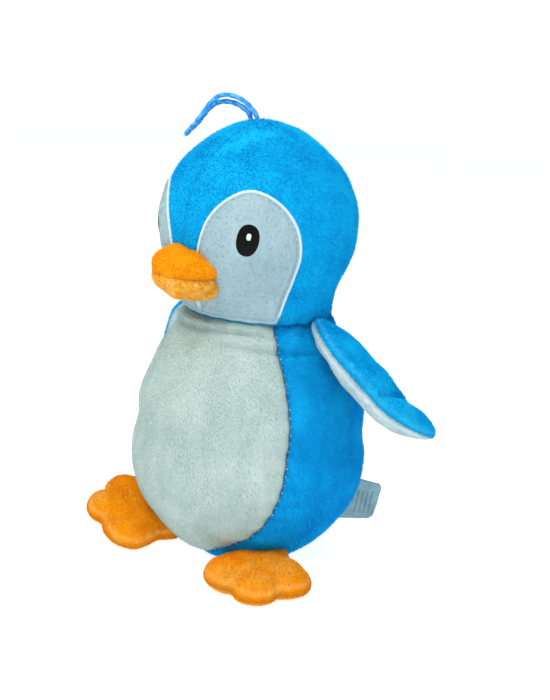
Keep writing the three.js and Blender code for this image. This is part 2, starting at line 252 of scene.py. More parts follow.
def mesh_object(name: str, points: np.ndarray, faces: Sequence[Sequence[int]],
                marks: dict[str, np.ndarray]) -> bpy.types.Object:
    """Makes a closed mesh with its doubles merged and its faces outwards.

    Args:
        name: The piece's name.
        points: Its points, in the row frame.
        faces: Indices of each face's points.
        marks: Point attributes by name.

    Returns:
        The object, at the origin.
    """
    mesh = bpy.data.meshes.new(name)
    mesh.from_pydata(points.tolist(), [], [list(map(int, f)) for f in faces])
    for key, value in marks.items():
        mesh.attributes.new(key, "FLOAT", "POINT").data.foreach_set("value", value.astype(np.float32))
    piece = bpy.data.objects.new(name, mesh)
    bpy.context.scene.collection.objects.link(piece)
    finish_mesh(mesh)
    return piece


def finish_mesh(mesh: bpy.types.Mesh) -> None:
    """Merges doubles, drops empty faces, turns faces outwards and shades smooth.

    Args:
        mesh: The mesh to finish.
    """
    work = bmesh.new()
    work.from_mesh(mesh)
    bmesh.ops.remove_doubles(work, verts=work.verts, dist=2e-6)
    bmesh.ops.dissolve_degenerate(work, edges=work.edges, dist=1e-7)
    bmesh.ops.recalc_face_normals(work, faces=work.faces)
    if work.calc_volume(signed=True) < 0:
        bmesh.ops.reverse_faces(work, faces=work.faces)
    work.to_mesh(mesh)
    work.free()
    mesh.shade_smooth()


def cloth_shell(name: str, outer: np.ndarray, thickness: float, wrap: bool = False,
                pile: np.ndarray | None = None, worn: np.ndarray | None = None,
                inner: np.ndarray | None = None) -> bpy.types.Object:
    """A piece of cloth of even thickness from a grid of its outer points.

    Args:
        name: The piece's name.
        outer: Rows of points of its outer side.
        thickness: Of the cloth with its backing.
        wrap: Whether each row closes on itself.
        pile: Share of pile at each point, all of it if left out.
        worn: Painted shade below nought and painted highlight above nought at each point, none if left out.
        inner: Points of its inner side, if they aren't simply behind the outer ones.

    Returns:
        The piece, with its pile attribute and its attribute of painted shade and highlight.
    """
    rows, columns = outer.shape[:2]
    if inner is None:
        normal = normals_of(outer, wrap)
        middle = outer.reshape(-1, 3).mean(0)
        turned = np.sign(np.sum(normal * (outer - middle)))
        inner = outer - normal * thickness * (turned or 1)
    count = rows * columns
    faces = [grid_faces(rows, columns, 0, wrap), grid_faces(rows, columns, count, wrap)[:, ::-1]]
    ring = [r * columns + c for r, c in border(rows, columns, wrap)]
    for line in ring if wrap else [ring]:
        line = np.array(line)
        after = np.roll(line, -1)
        faces.append(np.stack([after, line, line + count, after + count], -1))
    full = np.ones((rows, columns)) if pile is None else pile
    painted_shading_values = np.zeros((rows, columns)) if worn is None else worn
    marks = {
        PILE: np.concatenate([full.ravel(), np.zeros(count)]),
        PAINTED_SHADING: np.concatenate([painted_shading_values.ravel(), painted_shading_values.ravel()]),
    }
    points = np.concatenate([outer.reshape(-1, 3), inner.reshape(-1, 3)])
    return mesh_object(name, points, np.concatenate(faces), marks)


def border(rows: int, columns: int, wrap: bool) -> list:
    """Places round the open edge of a grid, in order.

    Args:
        rows: Rows of the grid.
        columns: Points in a row.
        wrap: Whether each row closes on itself, which leaves two edges.

    Returns:
        For an open grid (row, column) pairs; for a closed one, pairs that hold a whole ring each.
    """
    if wrap:
        return [(0, np.arange(columns)), (rows - 1, np.arange(columns))]
    top = [(0, c) for c in range(columns)]
    right = [(r, columns - 1) for r in range(1, rows)]
    low = [(rows - 1, c) for c in range(columns - 2, -1, -1)]
    left = [(r, 0) for r in range(rows - 2, 0, -1)]
    return top + right + low + left


# ---- the toy's surfaces, read from the frame ----


def rows_of(node: str, axis: Callable[[float], float]) -> dict[float, list[tuple[float, float]]]:
    """The level rows of points on the outer side of a CAD node.

    Args:
        node: The node's name.
        axis: Y of the middle of the toy at a height.

    Returns:
        For each height, pairs of azimuth in degrees and distance from the middle.
    """
    source = frame["nodes"][node]
    tree = BVHTree.FromObject(source, bpy.context.evaluated_depsgraph_get())
    levels: dict[float, dict[float, float]] = {}
    seen: dict[float, list[float]] = {}
    far = 0.2
    for vertex in source.data.vertices:
        x, y, z = vertex.co
        y -= axis(z)
        reach = math.hypot(x, y)
        if reach < 0.1 * MM:
            continue
        level = round(z, 4)
        levels.setdefault(level, {})[round(math.degrees(math.atan2(x, -y)), 2)] = reach
        away = Vector((x, y, 0)) / reach
        start = Vector((0, axis(z), z)) + away * far
        hit = tree.ray_cast(start, -away)[0]
        if hit is not None and abs((start - hit).length - (far - reach)) < 0.1 * MM:
            seen.setdefault(level, []).append(reach)
    rows = {}
    for level, reaches in seen.items():
        low = min(reaches) - 0.4 * MM
        row = sorted((azimuth, reach) for azimuth, reach in levels[level].items() if reach > low)
        if len(row) > 5 and len(reaches) > 3:
            rows[level] = row
    kept: dict[float, list[tuple[float, float]]] = {}
    for level in sorted(rows):
        near = [z for z in kept if level - z < 1.5 * MM]
        if not near:
            kept[level] = rows[level]
        elif len(rows[level]) > len(kept[near[0]]):
            del kept[near[0]]
            kept[level] = rows[level]
    return kept


class Skin:
    """The outer surface of the body and of the head, and the lines of their seams."""

    BACK_SEAM = 135.0
    SEAM = 0.3 * MM  # from a panel's edge to its seam

    def __init__(self) -> None:
        """Reads the profiles and the edges from the CAD nodes."""
        belly = rows_of("belly_panel", lambda z: 0.0)
        self.body = Smooth([(z, float(np.mean([r for _, r in row]))) for z, row in belly.items()])
        self.belly_edge = Smooth([(z, row[-1][0] + math.degrees(self.SEAM / row[-1][1]))
                                  for z, row in belly.items()])
        self.neck_z = max(belly)
        low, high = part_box("hood_left")
        self.rim_z, self.crown_z = low.z, high.z
        self.forward = -(low.y + high.y) / 2
        self.radius = (high.y - low.y) / 2
        self.middle_z = self.crown_z - self.radius
        self.jaw = Smooth([*self.jaw_points(), (self.middle_z + 8 * MM, self.radius - 0.7 * MM)])
        patch = rows_of("face_patch_left", lambda z: -float(self.ahead(z)))
        self.patch_rows = [(z, row[0][0], row[-1][0]) for z, row in sorted(patch.items())]
        self.patch_inner = Smooth([(z, start) for z, start, _ in self.patch_rows])
        self.patch_outer = Smooth([(z, end) for z, _, end in self.patch_rows])
        self.patch_low, self.patch_high = min(patch), max(patch)

    def ahead(self, z: np.ndarray) -> np.ndarray:
        """How far the head's middle is in front of the neck at a height."""
        return self.forward * smoothstep(self.rim_z, self.rim_z + 30 * MM, z)

    def jaw_points(self) -> list[tuple[float, float]]:
        """Height and radius of the head from its rim to its widest place."""
        node = frame["nodes"]["hood_left"].data.vertices
        fronts: dict[float, float] = {}
        backs: dict[float, float] = {}
        for vertex in node:
            x, y, z = vertex.co
            if x < 1 * MM and z < self.middle_z + 1e-4:
                key = round(z, 4)
                fronts[key] = min(fronts.get(key, y), y)
                backs[key] = max(backs.get(key, y), y)
        pairs = sorted((z, (backs[z] - fronts[z]) / 2) for z in fronts if z in backs)
        kept = []
        for z, radius in pairs:
            if radius > 0.03 and (not kept or radius > kept[-1][1] + 0.2 * MM):
                kept.append((z, radius))
        return kept

    def body_point(self, azimuth: np.ndarray, z: np.ndarray, lift: np.ndarray | float = 0.0) -> np.ndarray:
        """Points on the body, moved out along its normal.

        Args:
            azimuth: In degrees.
            z: Height on the profile.
            lift: Distance outwards.

        Returns:
            Points in the row frame.
        """
        step = 0.1 * MM
        slope = (self.body(z + step) - self.body(z - step)) / (2 * step)
        scale = np.hypot(1, slope)
        radius = self.body(z) + lift / scale
        angle = np.radians(azimuth)
        return np.stack([radius * np.sin(angle), -radius * np.cos(angle), z - lift * slope / scale], -1)

    def head_radius(self, z: np.ndarray) -> np.ndarray:
        """Radius of the head at a height."""
        ball = np.sqrt(np.maximum(self.radius ** 2 - (z - self.middle_z) ** 2, 1e-12))
        upper = smoothstep(self.middle_z - 8 * MM, self.middle_z + 8 * MM, z)
        return self.jaw(np.minimum(z, self.middle_z + 8 * MM)) * (1 - upper) + ball * upper

    def head_point(self, azimuth: np.ndarray, z: np.ndarray, lift: np.ndarray | float = 0.0) -> np.ndarray:
        """Points on the head, moved out along its normal.

        Args:
            azimuth: In degrees.
            z: Height on the profile.
            lift: Distance outwards.

        Returns:
            Points in the row frame.
        """
        angle = np.radians(azimuth)
        upper = z >= self.middle_z
        share = (self.radius + lift) / self.radius
        step = 0.1 * MM
        slope = (self.head_radius(z + step) - self.head_radius(z - step)) / (2 * step)
        slope = np.where(upper, 0.0, slope)
        scale = np.hypot(1, slope)
        base = self.head_radius(z)
        radius = np.where(upper, base * share, base + lift / scale)
        height = np.where(upper, self.middle_z + (z - self.middle_z) * share, z - lift * slope / scale)
        return np.stack([radius * np.sin(angle), -radius * np.cos(angle) - self.ahead(z), height], -1)


# ---- finishes ----


def rgb(code: str) -> tuple[float, float, float, float]:
    """A hex colour as linear red, green, blue and alpha."""
    parts = [int(code[i:i + 2], 16) / 255 for i in (0, 2, 4)]
    linear = [p / 12.92 if p <= 0.04045 else ((p + 0.055) / 1.055) ** 2.4 for p in parts]
    return (*linear, 1.0)


class Nodes:
    """A small helper that builds a material's node tree."""

    def __init__(self, name: str) -> None:
        """Starts a material.

        Args:
            name: The material's name.
        """
        self.material = bpy.data.materials.new(name)
        self.material.use_nodes = True
        self.tree = self.material.node_tree
        self.shader = self.tree.nodes["Principled BSDF"]

    def add(self, kind: str, inputs: dict | None = None, **settings: object) -> bpy.types.Node:
        """Adds a node.

        Args:
            kind: Its type.
            inputs: Values or sockets by input name or number.
            settings: Its properties.

        Returns:
            The node.
        """
        node = self.tree.nodes.new(kind)
        for key, value in settings.items():
            setattr(node, key, value)
        for key, value in (inputs or {}).items():
            if isinstance(value, bpy.types.NodeSocket):
                self.tree.links.new(value, node.inputs[key])
            else:
                node.inputs[key].default_value = value
        return node

    def mix(self, amount: object, low: object, high: object, blend: str = "MIX") -> bpy.types.NodeSocket:
        """Mixes two colours.

        Args:
            amount: Share of the second, a value or a socket.
            low: First colour.
            high: Second colour.
            blend: How they are mixed.

        Returns:
            The mixed colour's socket.
        """
        node = self.add("ShaderNodeMix", {0: amount, 6: low, 7: high}, data_type="RGBA", blend_type=blend)
        return node.outputs[2]

    def ramp(self, value: bpy.types.NodeSocket,
             stops: Sequence[tuple[float, object]]) -> bpy.types.NodeSocket:
        """A colour ramp.

        Args:
            value: Socket that drives it.
            stops: Positions and colours.

        Returns:
            The colour's socket.
        """
        node = self.add("ShaderNodeValToRGB", {0: value})
        band = node.color_ramp
        while len(band.elements) < len(stops):
            band.elements.new(0.5)
        for element, (position, colour) in zip(band.elements, stops):
            element.position = position
            element.color = colour if not isinstance(colour, float) else (colour, colour, colour, 1)
        return node.outputs[0]

    def noise(self, size: float, detail: float = 2.0, stretch: tuple[float, float, float] = (1, 1, 1),
              shift: float = 0.0) -> bpy.types.NodeSocket:
        """Noise on Object coordinates.

        Args:
            size: Size of a blotch in metres.
            detail: Octaves.
            stretch: Scale along each axis.
            shift: Moves the pattern.

        Returns:
            The noise's value socket.
        """
        place = self.add("ShaderNodeTexCoord").outputs["Object"]
        turned = self.add("ShaderNodeMapping", {"Vector": place, "Location": (shift, shift, shift),
                                                "Scale": stretch}).outputs[0]
        return self.add("ShaderNodeTexNoise", {"Vector": turned, "Scale": 1 / size, "Detail": detail,
                                               "Roughness": 0.6}).outputs[0]

    def attribute(self, name: str) -> bpy.types.NodeSocket:
        """The value of a point attribute."""
        return self.add("ShaderNodeAttribute", attribute_name=name).outputs["Fac"]

    def set(self, **values: object) -> None:
        """Sets the shader's own sockets; an underscore stands for a space."""
        for key, value in values.items():
            socket = self.shader.inputs[key.replace("_", " ")]
            if isinstance(value, bpy.types.NodeSocket):
                self.tree.links.new(value, socket)
            else:
                socket.default_value = value

    def bump(self, height: bpy.types.NodeSocket, depth: float, strength: float = 0.6) -> None:
        """Roughens the surface.

        Args:
            height: Socket of the relief.
            depth: Its depth in metres.
            strength: Of the effect.
        """
        node = self.add("ShaderNodeBump", {"Height": height, "Distance": depth, "Strength": strength})
        self.tree.links.new(node.outputs[0], self.shader.inputs["Normal"])


@dataclass(frozen=True)
class Plush:
    """Short-pile cloth: patches of nap at random, their light and dark painted sheen; painted shade in its
    seams and low pile; painted highlight on its crests and raised edges.
    """

    name: str
    # deep, mid and light: colours of the brushed patches, whose light and dark is painted sheen
    deep: str
    mid: str
    light: str
    # colour of the painted shade at the bottom of seams and tucks
    seam: str
    # colour of the painted highlight on crests and raised cut edges; on the face patch it also stands for the
    # cut edge's own paler look
    edge: str
    nap: Nap = Nap.PLUSH
    sheen: float = 0.35
    # size of the brushed patches, whose light and dark is painted sheen
    brush: float = 16 * MM
    grain: float = 0.9 * MM
    relief: float = 0.5 * MM
    fleck: float = 0.26  # painted shade: how much darker the low places of the pile are

    def material(self) -> bpy.types.Material:
        """Builds the material."""
        nodes = Nodes(self.name)
        # patches where the nap is brushed differently, at random; their light and dark is painted sheen
        brushed_sheen = nodes.noise(self.brush, 3, (1.0, 1.0, 0.55))
        strands = nodes.noise(self.grain, 2, (1.0, 1.0, 0.6), 0.3)
        colour = nodes.ramp(brushed_sheen, [(0.34, rgb(self.deep)), (0.5, rgb(self.mid)), (0.67, rgb(self.light))])
        # painted shade: the same fine noise that lowers the bump darkens the colour there
        shade = nodes.ramp(strands, [(0.3, 1 - self.fleck), (0.62, 1.0)])
        colour = nodes.mix(0.5, colour, shade, "MULTIPLY")
        # painted shade in seams and tucks and painted highlight on crests, read from the point attribute
        worn = nodes.attribute(PAINTED_SHADING)
        low = nodes.ramp(nodes.add("ShaderNodeMath", {0: worn, 1: -1.0}, operation="MULTIPLY").outputs[0],
                         [(0.0, 0.0), (1.0, 1.0)])
        high = nodes.ramp(worn, [(0.0, 0.0), (1.0, 1.0)])
        colour = nodes.mix(low, colour, rgb(self.seam))
        colour = nodes.mix(high, colour, rgb(self.edge))
        nodes.set(Base_Color=colour, Roughness=0.92, Sheen_Weight=self.sheen, Sheen_Roughness=0.45,
                  Sheen_Tint=rgb(self.light), Specular_IOR_Level=0.15)
        nodes.bump(strands, self.relief, 0.7)
        return nodes.material


@dataclass(frozen=True)
class Thread:
    """Embroidery or sewing thread: fine parallel strands with a slight gloss."""

    name: str
    dark: str
    light: str
    pitch: float = 0.55 * MM
    lean: float = 0.5
    roughness: float = 0.5
    relief: float = 0.12 * MM
    gloss: float = 0.4
    sheen: float = 0.15

    def material(self) -> bpy.types.Material:
        """Builds the material."""
        nodes = Nodes(self.name)
        place = nodes.add("ShaderNodeTexCoord").outputs["Object"]
        turned = nodes.add("ShaderNodeMapping", {"Vector": place, "Rotation": (0, self.lean, 0.7)}).outputs[0]
        strands = nodes.add("ShaderNodeTexWave", {"Vector": turned, "Scale": 1 / self.pitch / 6.3,
                                                  "Distortion": 1.2, "Detail": 1.0,
                                                  "Detail Scale": 2.0}).outputs[1]
        blotch = nodes.noise(3 * MM, 2)
        # painted shade and highlight: the colour follows the strands' bump, darker in the grooves and lighter
        # on the ridges, with random blotches mixed in
        strand_shading = nodes.mix(0.35, strands, blotch)
        colour = nodes.ramp(strand_shading, [(0.25, rgb(self.dark)), (0.75, rgb(self.light))])
        nodes.set(Base_Color=colour, Roughness=self.roughness, Sheen_Weight=self.sheen, Sheen_Roughness=0.4,
                  Specular_IOR_Level=self.gloss)
        nodes.bump(strands, self.relief, 0.8)
        return nodes.material


@dataclass(frozen=True)
class Tape:
    """Woven satin tape with faint bars instead of print."""

    name: str
    pale: str
    shadow: str
    ink: str
    weave: float = 0.35 * MM

    def material(self) -> bpy.types.Material:
        """Builds the material."""
        nodes = Nodes(self.name)
        blotch = nodes.noise(6 * MM, 3)
        colour = nodes.ramp(blotch, [(0.35, rgb(self.shadow)), (0.65, rgb(self.pale))])
        mark = nodes.attribute("bars")
        colour = nodes.mix(mark, colour, rgb(self.ink))
        weave = nodes.noise(self.weave, 1, (1, 1, 3))
        nodes.set(Base_Color=colour, Roughness=0.55, Sheen_Weight=0.2, Sheen_Roughness=0.3,
                  Specular_IOR_Level=0.35)
        nodes.bump(weave, 0.08 * MM, 0.6)
        return nodes.material


@dataclass(frozen=True)
class Wadding:
    """Loose polyester filling."""

    name: str = "wadding"
    pale: str = "f4f4f0"
    shadow: str = "dcdcd6"

    def material(self) -> bpy.types.Material:
        """Builds the material."""
        nodes = Nodes(self.name)
        tufts = nodes.noise(7 * MM, 4)
        colour = nodes.ramp(tufts, [(0.35, rgb(self.shadow)), (0.65, rgb(self.pale))])
        nodes.set(Base_Color=colour, Roughness=1.0, Sheen_Weight=0.4, Sheen_Roughness=0.5)
        nodes.bump(tufts, 1.5 * MM, 0.8)
        return nodes.material


# Each plush's fourth colour is its painted seam shade and its fifth its painted highlight.
# The hood, body and wing blues are one cloth: the body's copy is darker as painted shade on its sides, the
# wings' copy lighter as painted light.
BLUE_HOOD = Plush("blue plush", "00aeea", "01b8f0", "0cc0f4", "0284c4", "2cbcf0", sheen=0.22)
BLUE_BODY_SHADED = Plush("blue body plush", "00a0e2", "01abea", "08b6f0", "0176ba", "2ab0e6", sheen=0.18)
BLUE_WING_LIT = Plush("blue wing plush", "00b4ee", "02c2f4", "20ccf6", "0288ca", "48c6f0", sheen=0.25)
WHITE_BELLY = Plush("white plush", "aec5c2", "b6cbc8", "bed2cf", "86a4a2", "cbdad8",
                    Nap.SHORT, relief=0.22 * MM, fleck=0.1)
WHITE_WING = Plush("white wing plush", "b4d0d8", "c2dae0", "d0e4e8", "86abb8", "dcecf0",
                   Nap.SHORT, relief=0.3 * MM, fleck=0.12)
WHITE_PATCH = Plush("face plush", "95b2bd", "9bb7c2", "a3bec7", "7c9aa5", "d8eaf0",
                    Nap.CLIPPED, relief=0.15 * MM, fleck=0.08)
ORANGE_FOOT = Plush("orange plush", "ee9206", "f6a00a", "f3b242", "c87c0c", "f2ba5c", Nap.SHORT,
                    brush=22 * MM)
YELLOW_BEAK = Plush("yellow plush", "ec9404", "f59f06", "faaa12", "b97008", "f7b54a", Nap.SHORT)
ORANGE_BEAK = Plush("beak underside plush", "e8a01c", "f6bb40", "fcd278", "d6952a", "f8ce80",
                    Nap.PLUSH, brush=4 * MM)
EYE_THREAD = Thread("black thread", "000203", "03080b", relief=0.05 * MM, gloss=0.12, sheen=0.02)
GLINT_THREAD = Thread("white thread", "bccad0", "e6eef1", lean=0.2)
SEAM_THREAD = Thread("pale sewing thread", "a9c4cc", "d6e6ea", roughness=0.6)
CORD_FINISH = Thread("blue cord", "1486da", "44b6f2", pitch=0.8 * MM, roughness=0.6)
LABEL_TAPE = Tape("satin tape", "8db3b9", "769da4", "3c5257")


class Finishes:
    """Each finish's material, made once."""

    made: dict[str, bpy.types.Material] = {}

    @classmethod
    def of(cls, finish: Plush | Thread | Tape | Wadding) -> bpy.types.Material:
        """The material of a finish."""
        if finish.name not in cls.made:
            cls.made[finish.name] = finish.material()
        return cls.made[finish.name]


# ---- geometry nodes ----


class Tree:
    """A geometry node tree with named inputs."""

    def __init__(self, name: str, inputs: Sequence[tuple[str, str]]) -> None:
        """Starts the tree.

        Args:
            name: Its name.
            inputs: Names and socket types of its inputs after the geometry.
        """
        self.group = bpy.data.node_groups.new(name, "GeometryNodeTree")
        face = self.group.interface
        face.new_socket("Geometry", in_out="INPUT", socket_type="NodeSocketGeometry")
        self.keys = {}
        for label, kind in inputs:
            self.keys[label] = face.new_socket(label, in_out="INPUT", socket_type=kind).identifier
        face.new_socket("Geometry", in_out="OUTPUT", socket_type="NodeSocketGeometry")
        self.start = self.group.nodes.new("NodeGroupInput")
        self.end = self.group.nodes.new("NodeGroupOutput")

    def add(self, kind: str, inputs: dict | None = None, **settings: object) -> bpy.types.Node:
        """Adds a node.

        Args:
            kind: Its type.
            inputs: Values or sockets by input name or number.
            settings: Its properties.

        Returns:
            The node.
        """
        node = self.group.nodes.new(kind)
        for key, value in settings.items():
            setattr(node, key, value)
        for key, value in (inputs or {}).items():
            if isinstance(value, bpy.types.NodeSocket):
                self.group.links.new(value, node.inputs[key])
            else:
                node.inputs[key].default_value = value
        return node

    def given(self, label: str) -> bpy.types.NodeSocket:
        """The socket of one of the tree's inputs."""
        return self.start.outputs[label]

    def close(self, socket: bpy.types.NodeSocket) -> None:
        """Links the result to the tree's output."""
        self.group.links.new(socket, self.end.inputs[0])

    def run(self, piece: bpy.types.Object, values: dict[str, object]) -> bpy.types.Object:
        """Runs the tree on a piece and keeps the result as its plain mesh.

        Args:
            piece: A mesh object.
            values: Values of the inputs by name.

        Returns:
            The same object.
        """
        modifier = piece.modifiers.new("nodes", "NODES")
        modifier.node_group = self.group
        for label, value in values.items():
            modifier[self.keys[label]] = value
        graph = bpy.context.evaluated_depsgraph_get()
        graph.update()
        mesh = bpy.data.meshes.new_from_object(piece.evaluated_get(graph), depsgraph=graph)
        piece.modifiers.remove(modifier)
        old, name = piece.data, piece.data.name
        piece.data = mesh
        bpy.data.meshes.remove(old)
        mesh.name = name
        return piece


def pile_tree() -> Tree:
    """Fibres that grow from a cloth, denser where its pile attribute is higher."""
    tree = Tree("pile", [("Density", "NodeSocketFloat"), ("Length", "NodeSocketFloat"),
                         ("Width", "NodeSocketFloat"), ("Lean", "NodeSocketVector"),
                         ("Tousle", "NodeSocketFloat"), ("Seed", "NodeSocketInt"),
                         ("Finish", "NodeSocketMaterial")])
    share = tree.add("GeometryNodeInputNamedAttribute", {"Name": PILE}, data_type="FLOAT").outputs[0]
    density = tree.add("ShaderNodeMath", {0: share, 1: tree.given("Density")},
                       operation="MULTIPLY").outputs[0]
    spread = tree.add("GeometryNodeDistributePointsOnFaces",
                      {"Mesh": tree.given("Geometry"), "Density": density, "Seed": tree.given("Seed")})
    rough = tree.add("FunctionNodeRandomValue", {0: (-1, -1, -1), 1: (1, 1, 1), "Seed": 7},
                     data_type="FLOAT_VECTOR").outputs[0]
    rough = tree.add("ShaderNodeVectorMath", {0: rough, "Scale": tree.given("Tousle")},
                     operation="SCALE").outputs[0]
    swirl = tree.add("ShaderNodeTexNoise", {"Scale": 70.0, "Detail": 1.0}).outputs["Color"]
    swirl = tree.add("ShaderNodeVectorMath", {0: swirl, 1: (0.5, 0.5, 0.5)}, operation="SUBTRACT").outputs[0]
    swirl = tree.add("ShaderNodeVectorMath", {0: swirl, "Scale": 2.2}, operation="SCALE").outputs[0]
    aim = tree.add("ShaderNodeVectorMath", {0: spread.outputs["Normal"], 1: tree.given("Lean")},
                   operation="ADD").outputs[0]
    aim = tree.add("ShaderNodeVectorMath", {0: aim, 1: rough}, operation="ADD").outputs[0]
    aim = tree.add("ShaderNodeVectorMath", {0: aim, 1: swirl}, operation="ADD").outputs[0]
    turn = tree.add("FunctionNodeAlignRotationToVector", {"Vector": aim}, axis="Z").outputs[0]
    longer = tree.add("FunctionNodeRandomValue", {2: 0.6, 3: 1.15, "Seed": 3}, data_type="FLOAT").outputs[1]
    reach = tree.add("ShaderNodeMath", {0: longer, 1: tree.given("Length")}, operation="MULTIPLY").outputs[0]
    size = tree.add("ShaderNodeCombineXYZ",
                    {0: tree.given("Width"), 1: tree.given("Width"), 2: reach}).outputs[0]
    fibre = tree.add("GeometryNodeMeshCone", {"Vertices": 3, "Side Segments": 1, "Fill Segments": 1,
                                              "Radius Top": 0.0, "Radius Bottom": 0.5, "Depth": 1.0},
                     fill_type="NGON").outputs[0]
    placed = tree.add("GeometryNodeInstanceOnPoints",
                      {"Points": spread.outputs["Points"], "Instance": fibre, "Rotation": turn,
                       "Scale": size}).outputs[0]
    both = tree.add("GeometryNodeJoinGeometry")
    tree.group.links.new(tree.given("Geometry"), both.inputs[0])
    tree.group.links.new(placed, both.inputs[0])
    real = tree.add("GeometryNodeRealizeInstances", {0: both.outputs[0]}).outputs[0]
    tree.close(tree.add("GeometryNodeSetMaterial", {0: real, "Material": tree.given("Finish")}).outputs[0])
    return tree


def stitch_tree() -> Tree:
    """Stitches along a line: short rounded threads at even steps, each turned along the line."""
    tree = Tree("stitches", [("Pitch", "NodeSocketFloat"), ("Length", "NodeSocketFloat"),
                             ("Width", "NodeSocketFloat"), ("Turn", "NodeSocketFloat"),
                             ("Uneven", "NodeSocketFloat"), ("Seed", "NodeSocketInt"),
                             ("Finish", "NodeSocketMaterial")])
    line = tree.add("GeometryNodeMeshToCurve", {0: tree.given("Geometry")}).outputs[0]
    spots = tree.add("GeometryNodeCurveToPoints", {"Curve": line, "Length": tree.given("Pitch")},
                     mode="LENGTH")
    wander = tree.add("FunctionNodeRandomValue", {2: -1.0, 3: 1.0, "Seed": tree.given("Seed")},
                      data_type="FLOAT").outputs[1]
    wander = tree.add("ShaderNodeMath", {0: wander, 1: tree.given("Uneven")}, operation="MULTIPLY").outputs[0]
    twist = tree.add("ShaderNodeMath", {0: wander, 1: tree.given("Turn")}, operation="ADD").outputs[0]
    own = tree.add("ShaderNodeCombineXYZ", {0: twist}).outputs[0]
    own = tree.add("FunctionNodeEulerToRotation", {0: own}).outputs[0]
    turned = tree.add("FunctionNodeRotateRotation", {0: spots.outputs["Rotation"], 1: own},
                      rotation_space="LOCAL").outputs[0]
    bead = tree.add("GeometryNodeMeshIcoSphere", {"Radius": 0.5, "Subdivisions": 2}).outputs[0]
    scale = tree.add("ShaderNodeCombineXYZ", {0: tree.given("Width"), 1: tree.given("Width"),
                                              2: tree.given("Length")}).outputs[0]
    placed = tree.add("GeometryNodeInstanceOnPoints",
                      {"Points": spots.outputs["Points"], "Instance": bead, "Rotation": turned,
                       "Scale": scale}).outputs[0]
    real = tree.add("GeometryNodeRealizeInstances", {0: placed}).outputs[0]
    smooth = tree.add("GeometryNodeSetShadeSmooth", {0: real}).outputs[0]
    tree.close(tree.add("GeometryNodeSetMaterial", {0: smooth, "Material": tree.given("Finish")}).outputs[0])
    return tree


class Needle:
    """Grows pile and sews stitches with the two node trees."""

    PER_AREA = 2.6e6  # fibres to a square metre
    MOST = 34000  # fibres on one piece

    def __init__(self) -> None:
        """Builds the trees."""
        self.pile = pile_tree()
        self.stitch = stitch_tree()

    def grow(self, piece: bpy.types.Object, finish: Plush, seed: int, lean: Vector = Vector((0, 0, -0.75)),
             share: float = 1.0) -> bpy.types.Object:
        """Covers a piece of cloth with pile.

        Args:
            piece: The cloth.
            finish: Its finish.
            seed: Picks the fibres' places.
            lean: Direction that the pile lies in.
            share: Of the usual density.

        Returns:
            The same piece.
        """
        area = sum(p.area for p in piece.data.polygons) / 2
        density = min(self.PER_AREA * share, self.MOST / area)
        values = {"Density": density, "Length": finish.nap.value, "Width": 0.42 * MM, "Lean": lean,
                  "Tousle": 0.45, "Seed": seed, "Finish": Finishes.of(finish)}
        return self.pile.run(piece, values)

    def sew(self, name: str, lines: Sequence[np.ndarray], pitch: float, length: float, width: float,
            turn: float = 0.0, uneven: float = 0.15, finish: Thread = SEAM_THREAD,
            seed: int = 5) -> bpy.types.Object:
        """Sews stitches along lines.

        Args:
            name: The piece's name.
            lines: Rows of points.
            pitch: From one stitch to the next.
            length: Of a stitch.
            width: Of the thread.
            turn: Angle of a stitch to the line.
            uneven: How much the stitches differ in angle.
            finish: The thread's finish.
            seed: Picks the unevenness.

        Returns:
            The stitches as one mesh.
        """
        mesh = bpy.data.meshes.new(name)
        points = np.concatenate(lines)
        edges, first = [], 0
        for line in lines:
            edges += [(first + i, first + i + 1) for i in range(len(line) - 1)]
            first += len(line)
        mesh.from_pydata(points.tolist(), edges, [])
        piece = bpy.data.objects.new(name, mesh)
        bpy.context.scene.collection.objects.link(piece)
        values = {"Pitch": pitch, "Length": length, "Width": width, "Turn": turn, "Uneven": uneven,
                  "Seed": seed, "Finish": Finishes.of(finish)}
        return self.stitch.run(piece, values)


# ---- the toy's pieces ----


def dressed(piece: bpy.types.Object, finish: Plush | Thread | Tape | Wadding, slot: str,
            *nodes: str) -> bpy.types.Object:
    """Gives a piece its material and hides the CAD nodes that it stands for.

    Args:
        piece: The finished mesh.
        finish: Its finish.
        slot: The record's material slot; not used.
        nodes: CAD nodes that it replaces.

    Returns:
        The piece.
    """
    piece.data.materials.clear()
    piece.data.materials.append(Finishes.of(finish))
    if nodes:
        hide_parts(*nodes)
    LOG.info("%s: %d faces", piece.name, len(piece.data.polygons))
    return piece


